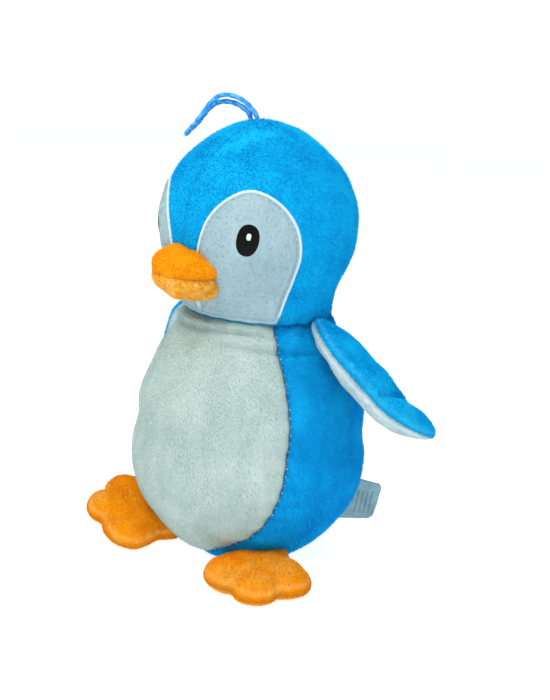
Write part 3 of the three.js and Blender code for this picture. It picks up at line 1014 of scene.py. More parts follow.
@dataclass
class Torso:
    """The pear-shaped body: belly, two sides, back, base and filling."""

    skin: Skin
    needle: Needle
    cloth: float = 1.6 * MM
    cell: float = 1.25 * MM
    seam_gap: float = 0.25 * MM
    seam_depth: float = 1.5 * MM
    seam_reach: float = 2.6 * MM
    bend_from: float = 0.100
    tuck: float = 2.4 * MM  # how far the cloth goes up inside the head

    def relief(self, azimuth: np.ndarray, z: np.ndarray) -> np.ndarray:
        """How far the filled cloth stands out from the plain profile.

        Args:
            azimuth: In degrees, -180 to 180.
            z: Height.

        Returns:
            Distance along the normal.
        """
        skin = self.skin
        radius = skin.body(z)
        place = skin.body_point(azimuth, z)
        round_it = np.abs((azimuth + 180) % 360 - 180)
        step = 1 * MM
        lean = radius * np.radians((skin.belly_edge(z + step) - skin.belly_edge(z - step)) / (2 * step))
        belly = radius * np.radians(np.abs(round_it - skin.belly_edge(z))) / np.hypot(1, lean)
        back = radius * np.radians(np.abs(round_it - skin.BACK_SEAM))
        neck = np.maximum(skin.neck_z - z, 0)
        lift = 0.3 * MM * lumps(place, 38 * MM, 3) + 0.08 * MM * lumps(place, 15 * MM, 4)
        lift -= self.seam_depth * (np.exp(-belly / self.seam_reach) + 0.45 * np.exp(-back / self.seam_reach))
        lift += 0.45 * MM * gathers(z, belly, 8.5 * MM, 7 * MM)
        lift += 0.18 * MM * gathers(z + 0.02, back, 10 * MM, 7 * MM)
        turn = radius * np.radians(azimuth)
        lift -= 1.1 * MM * np.exp(-neck / (2.6 * MM))
        lift -= 1.6 * MM * smoothstep(skin.neck_z, skin.neck_z + self.tuck, z)
        lift += 0.45 * MM * gathers(turn, neck, 11 * MM, 7 * MM)
        return lift + self.folds(azimuth, z)

    def folds(self, azimuth: np.ndarray, z: np.ndarray) -> np.ndarray:
        """Creases under the chin and where the wings pull at the shoulders."""
        skin = self.skin
        chin = skin.neck_z - 5.5 * MM + 1.6 * MM * np.sin(np.radians(azimuth * 2.0 + 20))
        window = smoothstep(-70, -35, azimuth) * (1 - smoothstep(34, 62, azimuth))
        lift = window * (1.5 * MM * bell(z - chin - 3.0 * MM, 2.2 * MM) - 2.2 * MM * bell(z - chin, 1.6 * MM))
        second = skin.neck_z - 10.5 * MM - 0.05 * MM * (azimuth - 30)
        window = smoothstep(5, 26, azimuth) * (1 - smoothstep(70, 100, azimuth))
        crease = 1.7 * MM * bell(z - second, 1.7 * MM)
        lift += window * (0.9 * MM * bell(z - second - 4 * MM, 3 * MM) - crease)
        shoulder = skin.neck_z - 13 * MM
        for centre in (90.0, -98.0):
            near = bell((azimuth - centre) / 20, 1.0)
            lift += near * 0.4 * MM * np.cos((z - shoulder) / (2.6 * MM) + (azimuth - centre) * 0.12) * \
                bell(z - shoulder, 14 * MM)
        return lift

    def point(self, azimuth: np.ndarray, z: np.ndarray, lift: np.ndarray | float = 0.0) -> np.ndarray:
        """Points on the filled body, moved out by a lift."""
        return self.skin.body_point(azimuth, z, self.relief(azimuth, z) + lift)

    def panel(self, name: str, start: Callable, end: Callable, finish: Plush, slot: str,
              seed: int) -> bpy.types.Object:
        """One cloth panel between two seams.

        Args:
            name: The CAD node that it stands for.
            start: Azimuth of its first seam at a height.
            end: Azimuth of its last seam.
            finish: Its finish.
            slot: The record's material slot.
            seed: For its pile.

        Returns:
            The panel.
        """
        skin = self.skin
        z = steps(int(skin.neck_z / self.cell), 0.0, skin.neck_z + self.tuck)[:, None]
        widest = np.radians(np.max(end(z) - start(z))) * 0.064
        share = steps(int(widest / self.cell))[None, :]
        gap = np.degrees(self.seam_gap / skin.body(z))
        azimuth = (start(z) + gap) * (1 - share) + (end(z) - gap) * share
        z = np.broadcast_to(z, azimuth.shape)
        azimuth = (azimuth + 180) % 360 - 180 if name != "back_panel" else azimuth
        outer = self.point(azimuth, z)
        reach = skin.body(z) * np.radians(1.0)
        side = np.minimum(share * (end(z) - start(z)), (1 - share) * (end(z) - start(z))) * reach
        # painted shade: darker along the seams and where the cloth tucks in under the head
        worn = -0.85 * np.exp(-side / (1.1 * MM)) - 0.6 * np.exp(-(skin.neck_z - z) / (1.6 * MM))
        piece = cloth_shell(name, outer, self.cloth, pile=np.ones_like(z), worn=np.maximum(worn, -1))
        self.needle.grow(piece, finish, seed)
        dressed(piece, finish, slot, name)
        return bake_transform(piece)

    def base(self) -> None:
        """The flat disc under the body."""
        low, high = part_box("base_panel")
        radius = high.x + 1.2 * MM
        r = steps(24, 0.0, radius)[:, None]
        a = steps(97, 0.0, 2 * np.pi)[None, :-1]
        z = 0.35 * MM * bell(r - radius * 0.55, 8 * MM) + 0.6 * MM * smoothstep(radius - 2 * MM, radius, r)
        disc = np.stack([r * np.cos(a), r * np.sin(a), z + 0 * a], -1)[::-1]
        inner = disc + np.array([0, 0, self.cloth])
        piece = cloth_shell("base_panel", disc, self.cloth, wrap=True, inner=inner)
        self.needle.grow(piece, BLUE_BODY_SHADED, 41, lean=Vector((0.2, 0, 0.7)), share=0.3)
        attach(dressed(piece, BLUE_BODY_SHADED, "blue_plush", "base_panel"), "torso")

    def filling(self) -> None:
        """The body's filling, which reaches up into the neck."""
        z = steps(46, 3.5 * MM, self.skin.neck_z + 9 * MM)[:, None]
        a = steps(73, 0.0, 360.0)[None, :-1]
        zz = np.broadcast_to(z, (46, 72))
        level = np.minimum(zz, self.skin.neck_z)
        place = self.skin.body_point(a + 0 * zz, level, -5 * MM)
        dome = np.sqrt(np.clip(1 - np.maximum(zz - self.skin.neck_z, 0) ** 2 / (9 * MM) ** 2, 0, 1))
        place[..., 2] = zz
        place[..., :2] *= (dome * smoothstep(-6 * MM, 9 * MM, zz))[..., None]
        place *= 1 + 0.01 * lumps(place, 20 * MM, 8)[..., None]
        piece = solid_of_rings("body_filling", place)
        dressed(piece, Wadding(), "stuffing", "body_stuffing", "neck_stuffing")
        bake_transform(piece)

    def seam_stitches(self) -> None:
        """The thread that shows along the belly's seams."""
        z = steps(220, 9 * MM, self.skin.neck_z - 4 * MM)
        lines = []
        for side in Side:
            edge = self.skin.belly_edge(z) + np.degrees(0.5 * MM / self.skin.body(z))
            lines.append(self.point(side.value * edge, z, 0.25 * MM))
        piece = self.needle.sew("belly_seam_thread", lines, 4.3 * MM, 1.1 * MM, 0.42 * MM, 1.25, 1.3)
        dressed(piece, SEAM_THREAD, "white_plush")
        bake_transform(piece)

    def build(self) -> None:
        """Makes every piece of the body."""
        skin = self.skin
        edge, back = skin.belly_edge, (lambda z: 0 * z + skin.BACK_SEAM)
        self.panel("belly_panel", lambda z: -edge(z), edge, WHITE_BELLY, "white_plush", 11)
        self.panel("side_panel_left", edge, back, BLUE_BODY_SHADED, "blue_plush", 12)
        self.panel("side_panel_right", lambda z: -back(z), lambda z: -edge(z), BLUE_BODY_SHADED, "blue_plush", 13)
        self.panel("back_panel", back, lambda z: 360 - back(z), BLUE_BODY_SHADED, "blue_plush", 14)
        self.base()
        self.filling()
        self.seam_stitches()


def solid_of_rings(name: str, rings: np.ndarray) -> bpy.types.Object:
    """A closed solid from rings of points, each end closed by a fan.

    Args:
        name: The piece's name.
        rings: Rows of points, each row a closed ring.

    Returns:
        The piece.
    """
    rows, columns = rings.shape[:2]
    points = np.concatenate([rings.reshape(-1, 3), rings[0].mean(0)[None], rings[-1].mean(0)[None]])
    faces = [list(q) for q in grid_faces(rows, columns, 0, True)]
    for ring, pole in ((0, rows * columns), (rows - 1, rows * columns + 1)):
        start = ring * columns
        for c in range(columns):
            pair = [start + c, start + (c + 1) % columns]
            faces.append([pole, *(pair if ring else pair[::-1])])
    zero = np.zeros(len(points))
    return mesh_object(name, points, faces, {PILE: zero, PAINTED_SHADING: zero})


@dataclass
class Head:
    """The hood, the face patches, the eyes, the beak and the head's filling."""

    skin: Skin
    needle: Needle
    cloth: float = 1.6 * MM
    cell: float = 1.25 * MM
    bend_to: float = 0.162
    raw_edge: float = 2.3 * MM
    crown: float = 1.7 * MM
    flatter: float = 1.3 * MM  # how much the head slopes away round its crown
    eye_lean: float = 8.0
    patch_bow: float = 3.2  # degrees that the patches' inner edges bow towards each other
    patch_middle: tuple[float, float] = (33.0, 0.167)  # azimuth and height
    patch_grown: float = 1.03  # makes up for what rounding takes off the patches
    cheek: float = 3.0 * MM  # how far the cheeks are pressed in
    nape: float = 2.8 * MM  # how far the nape is drawn in

    def bent(self, piece: bpy.types.Object) -> bpy.types.Object:
        """Bakes a piece's transform into its mesh."""
        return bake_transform(piece)

    def relief(self, azimuth: np.ndarray, z: np.ndarray) -> np.ndarray:
        """How far the hood stands out from the plain head.

        Args:
            azimuth: In degrees, -180 to 180.
            z: Height.

        Returns:
            Distance outwards.
        """
        skin = self.skin
        place = skin.head_point(azimuth, z)
        middle = np.abs(place[..., 0])
        high = smoothstep(skin.middle_z - 20 * MM, skin.middle_z + 25 * MM, z)
        behind = smoothstep(-10 * MM, 15 * MM, place[..., 1])
        seam = np.maximum(high, behind)
        lift = 0.4 * MM * lumps(place, 34 * MM, 21) + 0.08 * MM * lumps(place, 13 * MM, 22)
        polar = np.arccos(np.clip((z - skin.middle_z) / skin.radius, -1, 1))
        lift -= self.flatter * bell(polar - 0.72, 0.38)
        side = np.abs((azimuth + 180) % 360 - 180)
        front = smoothstep(skin.rim_z + 4 * MM, skin.rim_z + 18 * MM, z) * (1 - smoothstep(0.19, 0.205, z))
        lift -= self.cheek * bell(side - 51, 16) * front
        lift -= self.nape * bell(z - skin.rim_z - 13 * MM, 13 * MM) * smoothstep(85, 120, side)
        lift -= (0.45 + 0.65 * behind) * MM * seam * np.exp(-middle / (2.2 * MM))
        lift += 0.3 * MM * seam * gathers(place[..., 1] + place[..., 2], middle, 9 * MM, 6 * MM)
        from_crown = np.hypot(place[..., 0], place[..., 1] + 8 * MM)
        lift += self.crown * bell(from_crown, 13 * MM) * (z > skin.middle_z)
        rim = np.maximum(z - skin.rim_z, 0)
        lift -= 0.9 * MM * np.exp(-rim / (2.0 * MM))
        lift += 0.35 * MM * gathers(np.radians(azimuth) * 0.042, rim, 10.5 * MM, 7 * MM)
        return lift

    def point(self, azimuth: np.ndarray, z: np.ndarray, lift: np.ndarray | float = 0.0) -> np.ndarray:
        """Points above the hood, moved out by a lift."""
        return self.skin.head_point(azimuth, z, self.relief(azimuth, z) + lift)

    def heights(self) -> np.ndarray:
        """Heights of the hood's rows, from the crown down to the rim."""
        skin = self.skin
        turn = np.radians(steps(int(skin.radius * np.pi / 2 / self.cell), 0.8, 90))
        upper = skin.middle_z + skin.radius * np.cos(turn)
        lower = steps(int((skin.middle_z - skin.rim_z) / self.cell), skin.middle_z, skin.rim_z)
        return np.concatenate([upper, lower[1:]])

    def hood(self, side: Side) -> None:
        """Half of the hood."""
        z = self.heights()[:, None]
        azimuth = steps(int(np.pi * self.skin.radius / self.cell), 0.0, 180.0)[None, :] + 0 * z
        z = z + 0 * azimuth
        outer = self.point(side.value * azimuth, z)
        gap = 0.15 * MM
        outer[..., 0] = side.value * np.maximum(side.value * outer[..., 0], gap)
        middle = np.abs(outer[..., 0])
        # painted shade: darker along the middle seam, more so at the back, and along the rim at the neck
        worn = -(0.3 + 0.5 * (outer[..., 1] > 0)) * np.exp(-middle / (1.0 * MM))
        worn = worn - 0.7 * np.exp(-(z - self.skin.rim_z) / (1.8 * MM))
        inner_edge, outer_edge = self.skin.patch_inner(z), self.skin.patch_outer(z)
        under = (azimuth > inner_edge - 1) & (azimuth < outer_edge - 2) & (z < self.skin.patch_high)
        name = f"hood_{side.word}"
        piece = cloth_shell(name, outer, self.cloth, pile=1.0 - under, worn=np.maximum(worn, -1))
        self.needle.grow(piece, BLUE_HOOD, 20 + side.value, lean=Vector((0, 0.35, -0.6)))
        self.bent(dressed(piece, BLUE_HOOD, "blue_plush", name))

    def patch_outline(self, count: int = 400) -> np.ndarray:
        """Azimuth and height round the left patch's edge, from its lower front corner."""
        rows = self.skin.patch_rows
        level = np.array([row[0] for row in rows])
        bow = self.patch_bow * smoothstep(0.148, 0.158, level) * (1 - smoothstep(0.186, 0.2, level))
        knots = [(row[1] - more, row[0]) for row, more in zip(rows, bow)]
        knots += [(end, z) for z, _, end in rows[::-1]]
        stretch = np.array([np.radians(1) * self.skin.radius, 1.0])
        line = through(np.array(knots) * stretch, count)
        near = 48
        soft = bell(np.arange(-near, near + 1), 22.0)
        soft /= soft.sum()
        padded = np.pad(line, ((near, near), (0, 0)), "reflect", reflect_type="odd")
        line = np.stack([np.convolve(column, soft, "valid") for column in padded.T], 1) / stretch
        middle = np.array(self.patch_middle)
        line = middle + (line - middle) * self.patch_grown
        line[:, 1] = np.maximum(line[:, 1], self.skin.patch_low)
        foot = line[-1] + (line[0] - line[-1]) * steps(80)[1:-1][:, None]
        return np.concatenate([line, foot])

    def from_edge(self, azimuth: np.ndarray, z: np.ndarray) -> np.ndarray:
        """Distance from the face patch's edge, on the cloth."""
        points = self.skin.head_point(azimuth, z).reshape(-1, 3)
        outline = self.patch_outline()
        edge = self.skin.head_point(outline[:, 0], outline[:, 1])
        nearest = np.full(len(points), 1.0)
        for start in range(0, len(edge), 60):
            part = edge[start:start + 60]
            gap = np.linalg.norm(points[:, None] - part[None], axis=-1).min(1)
            nearest = np.minimum(nearest, gap)
        return nearest.reshape(azimuth.shape)

    def patch_lift(self, edge: np.ndarray, place: np.ndarray) -> np.ndarray:
        """Height of a face patch above the hood, by distance from its edge."""
        round_edge = 1 - np.exp(-edge / (0.5 * MM))
        sewn = bell(edge - self.raw_edge, 0.75 * MM)
        filled = smoothstep(self.raw_edge, self.raw_edge + 9 * MM, edge)
        height = (0.5 + 0.9 * round_edge - 0.8 * sewn + 0.35 * filled) * MM
        return height + 0.05 * MM * lumps(place, 9 * MM, 31)

    def patch(self, side: Side) -> None:
        """A face patch with its cut edge and the line of stitches inside it."""
        skin = self.skin
        middle = np.array(self.patch_middle)
        size = (1 - (1 - steps(46)) ** 1.5)[:, None, None]
        ring = middle + (self.patch_outline() - middle)[None] * size
        azimuth, z = ring[..., 0], ring[..., 1]
        edge = self.from_edge(azimuth, z)
        place = skin.head_point(azimuth, z)
        lift = self.patch_lift(edge, place)
        outer = self.point(side.value * azimuth, z, lift)
        inner = self.point(side.value * azimuth, z, 0.15 * MM)
        # painted highlight on the raised cut edge, together with the cut edge's own paler look, and painted
        # shade in the stitch line's groove; both fade towards the lower edge
        worn = 0.75 * (1 - smoothstep(self.raw_edge - 1.2 * MM, self.raw_edge - 0.3 * MM, edge))
        worn = worn - 0.5 * bell(edge - self.raw_edge, 0.6 * MM)
        worn = worn * smoothstep(2 * MM, 6 * MM, z - skin.patch_low)
        low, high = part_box(f"eye_{side.word}")
        off_eye = np.linalg.norm(outer - np.array((low + high) / 2), axis=-1)
        pile = (smoothstep(self.raw_edge, 4 * MM, edge) + 0.25) * smoothstep(8 * MM, 11 * MM, off_eye)
        name = f"face_patch_{side.word}"
        piece = cloth_shell(name, outer, self.cloth, wrap=True, pile=pile, worn=worn, inner=inner)
        self.needle.grow(piece, WHITE_PATCH, 30 + side.value, lean=Vector((0, 0, -0.5)), share=0.3)
        self.bent(dressed(piece, WHITE_PATCH, "face_plush", name))

    def patch_stitches(self) -> None:
        """The stitches that hold the face patches on, along all but their lower edges."""
        outline = self.patch_outline()
        ring = self.skin.head_point(outline[:, 0], outline[:, 1])
        middle = np.array(self.patch_middle)
        centre = self.skin.head_point(middle[0], middle[1])
        away = np.linalg.norm(ring - centre, axis=-1)
        inset = outline + (middle - outline) * (self.raw_edge / away)[:, None]
        lines = []
        for side in Side:
            azimuth, z = inset[:, 0], inset[:, 1]
            lines.append(self.point(side.value * azimuth, z, 0.62 * MM)[:-78])
        piece = self.needle.sew("patch_thread", lines, 3.1 * MM, 2.0 * MM, 0.3 * MM, 0.0, 0.12)
        self.bent(dressed(piece, SEAM_THREAD, "face_plush"))

    def oval(self, node: str, side: Side, power: float, low: float, high: float, jag: float) -> np.ndarray:
        """Rings of a flat embroidered shape on the face.

        Args:
            node: CAD node whose box gives its place and size.
            side: Left or right.
            power: 2 for an oval, more for squarer corners.
            low: Height of its edge above the hood.
            high: Height of its middle.
            jag: How ragged the ends of its threads are.

        Returns:
            Rows of points from the edge to the middle.
        """
        low_corner, high_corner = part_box(node)
        centre = (low_corner + high_corner) / 2
        y = centre.y + self.skin.forward
        azimuth = math.degrees(math.atan2(abs(centre.x), -y))
        reach = math.hypot(centre.x, y)
        half_up = (high_corner.z - low_corner.z) / 2
        half_along = half_up * 0.79
        half_up *= 1.1
        if "glint" in node:
            half_along, half_up = 0.75 * half_along, 0.75 * half_up
        lean = math.radians(self.eye_lean)
        turn = steps(145, 0.0, 2 * np.pi)[None, :-1]
        size = steps(22)[::-1][:, None]
        corner = (np.abs(np.cos(turn)) ** power + np.abs(np.sin(turn)) ** power) ** (-1 / power)
        ragged = 1 + jag * np.sin(turn * 47) * smoothstep(0.85, 1.0, size)
        along = half_along * size * corner * np.cos(turn) * ragged
        up = half_up * size * corner * np.sin(turn) * ragged
        across = along * math.cos(lean) - up * math.sin(lean)
        rise = along * math.sin(lean) + up * math.cos(lean)
        az = azimuth - np.degrees(across / reach)
        lift = low + (high - low) * (1 - size ** 3.2) ** 0.6 + 0 * turn
        return self.point(side.value * az, centre.z + rise, lift)

    def embroidery(self, side: Side) -> None:
        """The eye and the glint on it."""
        base = 0.85 * MM
        for node, finish, slot, power, low, high, jag in (
            (f"eye_{side.word}", EYE_THREAD, "eye_thread", 2.15, base, base + 1.9 * MM, 0.012),
            (f"eye_glint_{side.word}", GLINT_THREAD, "glint_thread", 3.2, base + 1.3 * MM,
             base + 2.3 * MM, 0.02),
        ):
            piece = solid_of_rings(node, self.oval(node, side, power, low, high, jag))
            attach(dressed(piece, finish, slot, node), "head")

    def face_depth(self, x: np.ndarray, z: np.ndarray) -> np.ndarray:
        """Y of the face straight behind a place on the beak."""
        radius = self.skin.head_radius(z) + 0.9 * MM
        return -self.skin.ahead(z) - np.sqrt(np.maximum(radius ** 2 - x ** 2, 0))

    def beak_half(self, name: str, up: bool, finish: Plush, slot: str, seed: int) -> None:
        """The upper or the lower half of the beak.

        Args:
            name: CAD node.
            up: Whether it is the upper half.
            finish: Its finish.
            slot: The record's material slot.
            seed: For its pile.
        """
        low_u, high_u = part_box("beak_upper")
        low_l, high_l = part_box("beak_lower")
        middle = (low_u.z + high_l.z) / 2
        rise, drop = high_u.z - middle, middle - low_l.z
        rise, drop, tip = 0.95 * rise, 0.88 * drop, -low_u.y - 2.0 * MM
        half = high_u.x - (0.2 if up else 1.2) * MM
        turn = steps(58, 0.0, np.pi)[None, :] * (1 if up else -1)
        reach = steps(40, 0.0, 1.0)[:, None] ** 0.72
        tall = rise if up else drop
        around = (1 - reach ** 2.8) ** 0.5
        x = half * np.cos(turn)
        high = tall * np.sign(turn) * np.abs(np.sin(turn)) ** (0.62 if up else 0.9)
        root = self.face_depth(x, middle + high)
        y = root + (-tip - root) * reach ** 1.1
        seam = 0.8 * MM * np.exp(-np.abs(high * around) / (1.5 * MM)) * (1 - bell(reach - 1, 0.12))
        apart = 0.12 * MM if up else -0.12 * MM
        place = np.stack([x * around, y, middle + high * around + apart * around], -1)
        centre = np.stack([np.zeros_like(y), y, np.full_like(y, middle)], -1)
        away = place - centre
        length = np.maximum(np.linalg.norm(away, axis=-1, keepdims=True), 1e-6)
        swell = 0.5 * MM * lumps(place, 12 * MM, 51) + 0.8 * MM * np.sin(np.abs(turn)) * (1 - reach)
        place = place + away / length * np.minimum(swell - seam, length[..., 0])[..., None]
        inner = place - away / length * np.minimum(self.cloth, 0.8 * length)
        inner[..., 1] += 0.8 * MM * reach
        # painted shade: darker along the seam between the halves and at the root against the face
        worn = -0.4 * np.exp(-np.abs(high * around) / (0.7 * MM)) - 0.4 * np.exp(-reach / 0.05)
        piece = cloth_shell(name, place, self.cloth, worn=np.maximum(worn, -1), inner=inner)
        self.needle.grow(piece, finish, seed, lean=Vector((0, 0.7, -0.1)), share=0.9 if up else 1.2)
        self.bent(dressed(piece, finish, slot, name))

    def filling(self) -> None:
        """The filling of the head and of the beak."""
        z = self.heights()[::3][:, None]
        azimuth = steps(73, 0.0, 360.0)[None, :-1] + 0 * z
        place = self.skin.head_point(azimuth, z + 0 * azimuth, -5 * MM)
        place[..., 2] = np.maximum(place[..., 2], self.skin.rim_z + 9 * MM)
        place += (0.6 * MM * lumps(place, 20 * MM, 61))[..., None] * np.array([1, 1, 0])
        piece = solid_of_rings("head_filling", place)
        dressed(piece, Wadding(), "stuffing", "head_stuffing")
        self.bent(piece)
        low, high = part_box("beak_stuffing")
        middle = (low + high) / 2
        half = (high - low) / 2
        up, a = steps(24, -1, 1)[:, None], steps(33, 0.0, 2 * np.pi)[None, :-1]
        ring = np.sqrt(np.maximum(1 - np.abs(up) ** 2.2, 0))
        ball = np.stack([0.82 * half.x * ring * np.cos(a), 0 * a + 0.8 * half.y * up - 2 * MM,
                         0.78 * half.z * ring * np.sin(a)], -1) + np.array(middle)
        piece = solid_of_rings("beak_filling", ball)
        dressed(piece, Wadding(), "stuffing", "beak_stuffing")
        self.bent(piece)

    def build(self) -> None:
        """Makes every piece of the head."""
        for side in Side:
            self.hood(side)
            self.patch(side)
            self.embroidery(side)
        self.patch_stitches()
        self.beak_half("beak_upper", True, YELLOW_BEAK, "beak_plush", 51)
        self.beak_half("beak_lower", False, ORANGE_BEAK, "orange_plush", 52)
        self.filling()


@dataclass
class Pillow:
    """A limb sewn from two halves round a flat seam, in its own frame: x out, y across, z up."""

    outline: list[tuple[float, float]]
    centre: tuple[float, float]
    rise: float
    drop: float
    power: float = 2.6
    edge: float = 0.55
    around: int = 200
    rings: int = 34

    def seam_line(self) -> np.ndarray:
        """The outline as even points on a smooth closed curve."""
        return through(np.array(self.outline) * MM, self.around, closed=True)

    def half(self, crown: float, inset: float = 0.0) -> tuple[np.ndarray, np.ndarray]:
        """Rings of one half from its middle to its seam.

        Args:
            crown: Height of its middle, negative for the lower half.
            inset: How far inside it lies.

        Returns:
            Points and, for each, the distance from the seam.
        """
        centre = np.array(self.centre) * MM
        line = self.seam_line() - centre
        size = (1 - (1 - steps(self.rings)) ** 1.5)[:, None, None]
        length = np.linalg.norm(line, axis=1)[None, :, None]
        flat = centre + line[None] * size * (length - inset) / length
        height = np.sign(crown) * (abs(crown) - inset) * (1 - size[..., 0] ** self.power) ** self.edge
        height = np.broadcast_to(height, flat.shape[:2])
        away = ((1 - size) * length)[..., 0]
        return np.concatenate([flat, height[..., None]], -1), away


class Limb:
    """A wing or a foot: two cloth halves and their filling, placed at its hinge."""

    def __init__(self, kind: str, side: Side, pillow: Pillow, turn: tuple[float, float, float],
                 needle: Needle) -> None:
        """Finds the limb's place.

        Args:
            kind: "wing" or "foot".
            side: Left or right.
            pillow: Its shape.
            turn: Angles about its own x, y and z, in degrees, as on the left side.
            needle: For its pile.
        """
        self.body = f"{kind}_{side.word}"
        self.side, self.pillow, self.needle = side, pillow, needle
        joint = next(j for j in frame["joints"] if j["child"] == self.body)
        x, y, z = joint["pos_m"]
        self.root = np.array([abs(x), y, z])
        self.matrix = np.array(Euler([math.radians(a) for a in turn], "XYZ").to_matrix())

    def place(self, points: np.ndarray) -> np.ndarray:
        """Points from the limb's own frame to the row frame."""
        placed = points @ self.matrix.T + self.root
        placed[..., 0] *= self.side.value
        return placed

    def half(self, name: str, crown: float, shape: Callable, finish: Plush, slot: str, seed: int,
             lean: tuple[float, float, float], blend: tuple[float, float]) -> None:
        """One cloth half.

        Args:
            name: CAD node.
            crown: Height of its middle.
            shape: Bends the points in the limb's own frame, given them and their distance from the seam.
            finish: Its finish.
            slot: The record's material slot.
            seed: For its pile.
            lean: Direction of its pile in the limb's own frame.
            blend: Where along x the bend starts and ends.
        """
        points, away = self.pillow.half(crown)
        points[..., 2] += np.sign(crown) * 0.1 * MM
        outer = shape(points, away)
        inner, _ = self.pillow.half(crown, 1.5 * MM)
        inner = shape(inner, away + 1.5 * MM)
        outer, inner = self.place(outer), self.place(inner)
        # painted highlight on the crest of the rolled seam and painted shade in the seam itself
        worn = 0.55 * bell(away - 1.2 * MM, 1.0 * MM) - 0.7 * bell(away, 0.5 * MM)
        piece = cloth_shell(name, outer, 1.5 * MM, wrap=True, worn=worn, inner=inner)
        way = Vector(self.matrix @ np.array(lean))
        way.x *= self.side.value
        self.needle.grow(piece, finish, seed, lean=way)
        dressed(piece, finish, slot, name)
        self.bend(piece, blend)

    def bend(self, piece: bpy.types.Object, blend: tuple[float, float]) -> None:
        """Works out the ends of the bend at the limb's root, which nothing uses, and bakes the piece's
        transform into its mesh.
        """
        ends = self.place(np.array([[blend[0], 0, 0], [blend[1], 0, 0]]))
        tuple(ends[0])
        tuple(ends[1])
        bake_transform(piece)

    def filling(self, shape: Callable, blend: tuple[float, float]) -> None:
        """The limb's filling."""
        inset = 3.2 * MM
        upper, away = self.pillow.half(self.pillow.rise, inset)
        lower, _ = self.pillow.half(-self.pillow.drop, inset)
        rings = np.concatenate([shape(upper, away + inset), shape(lower, away + inset)[::-1][1:]])[::2, ::2]
        piece = solid_of_rings(f"{self.body}_filling", self.place(rings))
        dressed(piece, Wadding(), "stuffing", f"{self.body}_stuffing")
        self.bend(piece, blend)


@dataclass
class Wing:
    """A flipper, blue outside and white inside."""

    side: Side
    needle: Needle
    turn: tuple[float, float, float]
    curl: float = 7 * MM
    bend: tuple[float, float] = (-8 * MM, 9 * MM)
    pillow: Pillow = field(default_factory=lambda: Pillow(
        [(-15, -4), (-15, 8), (-4, 15), (5, 20), (20, 21.5), (35, 19), (47, 14), (57, 14), (65, 14), (69, 9),
         (69, 0), (65, -9), (57, -15), (44, -20), (24, -23), (9, -23), (1, -19), (-8, -11)],
        (28, 0), 9 * MM, 8 * MM))

    def shape(self, points: np.ndarray, away: np.ndarray) -> np.ndarray:
        """Curls the tip up, creases it and puckers the cloth along the seam."""
        p = points.copy()
        x, y = p[..., 0], p[..., 1]
        line = np.arctan2(y, x - 28 * MM) * 0.03
        face = np.sign(p[..., 2])
        crease = x - 46 * MM - 0.35 * y
        thick = smoothstep(0, 6 * MM, away)
        p[..., 2] += face * thick * (0.45 * MM * lumps(points, 17 * MM, 71))
        p[..., 2] += face * 0.35 * MM * gathers(line, away, 7 * MM, 6 * MM) * smoothstep(0, 2 * MM, away)
        p[..., 2] -= thick * (face > 0) * 2.6 * MM * bell(crease, 3.0 * MM)
        p[..., 2] += thick * (face > 0) * 1.0 * MM * bell(crease - 8 * MM, 6 * MM)
        tip = np.maximum(x - 44 * MM, 0) / (28 * MM)
        p[..., 2] += self.curl * tip ** 1.6
        p[..., 0] -= 0.25 * self.curl * tip ** 2
        return p

    def build(self) -> None:
        """Makes the wing."""
        limb = Limb("wing", self.side, self.pillow, self.turn, self.needle)
        word = self.side.word
        limb.half(f"wing_{word}_outer", self.pillow.rise, self.shape, BLUE_WING_LIT, "blue_plush",
                  70 + self.side.value, (0.7, 0, 0), self.bend)
        limb.half(f"wing_{word}_inner", -self.pillow.drop, self.shape, WHITE_WING, "white_plush",
                  74 + self.side.value, (0.7, 0, 0), self.bend)
        limb.filling(self.shape, self.bend)


@dataclass
class Foot:
    """A flat foot with three lobes."""

    side: Side
    needle: Needle
    turn: tuple[float, float, float]
    bend: tuple[float, float] = (-7 * MM, 7 * MM)
    pillow: Pillow = field(default_factory=lambda: Pillow(
        [(-17, -12), (-17, 12), (-5, 17), (1, 23), (9, 28), (19, 27), (25, 20), (27, 13), (33, 9), (36, 1),
         (34, -7), (28, -11), (26, -18), (20, -25), (9, -27), (1, -22), (-5, -17)],
        (10, 0), 10 * MM, 5.0 * MM, 3.2, 0.5))

    def shape(self, points: np.ndarray, away: np.ndarray) -> np.ndarray:
        """Dips the cloth between the lobes and puckers it along the seam."""
        p = points.copy()
        x, y = p[..., 0], p[..., 1]
        face = np.sign(p[..., 2])
        line = np.arctan2(y, x - 10 * MM) * 0.025
        top = face > 0
        thick = smoothstep(0, 5 * MM, away)
        forward = smoothstep(4 * MM, 22 * MM, x)
        for middle in (11 * MM, -11 * MM):
            p[..., 2] -= top * thick * forward * 1.6 * MM * bell(y - middle * 1.15, 4 * MM)
        p[..., 2] += face * thick * np.where(top, 0.4, 0.1) * MM * lumps(points, 12 * MM, 81)
        p[..., 2] += top * 0.35 * MM * gathers(line, away, 6 * MM, 5 * MM) * smoothstep(0, 2 * MM, away)
        return p

    def build(self) -> None:
        """Makes the foot."""
        limb = Limb("foot", self.side, self.pillow, self.turn, self.needle)
        word = self.side.word
        limb.half(f"foot_{word}_top", self.pillow.rise, self.shape, ORANGE_FOOT, "orange_plush",
                  80 + self.side.value, (0.5, 0, -0.2), self.bend)
        limb.half(f"foot_{word}_sole", -self.pillow.drop, self.shape, ORANGE_FOOT, "orange_plush",
                  84 + self.side.value, (0.5, 0, 0.2), self.bend)
        limb.filling(self.shape, self.bend)


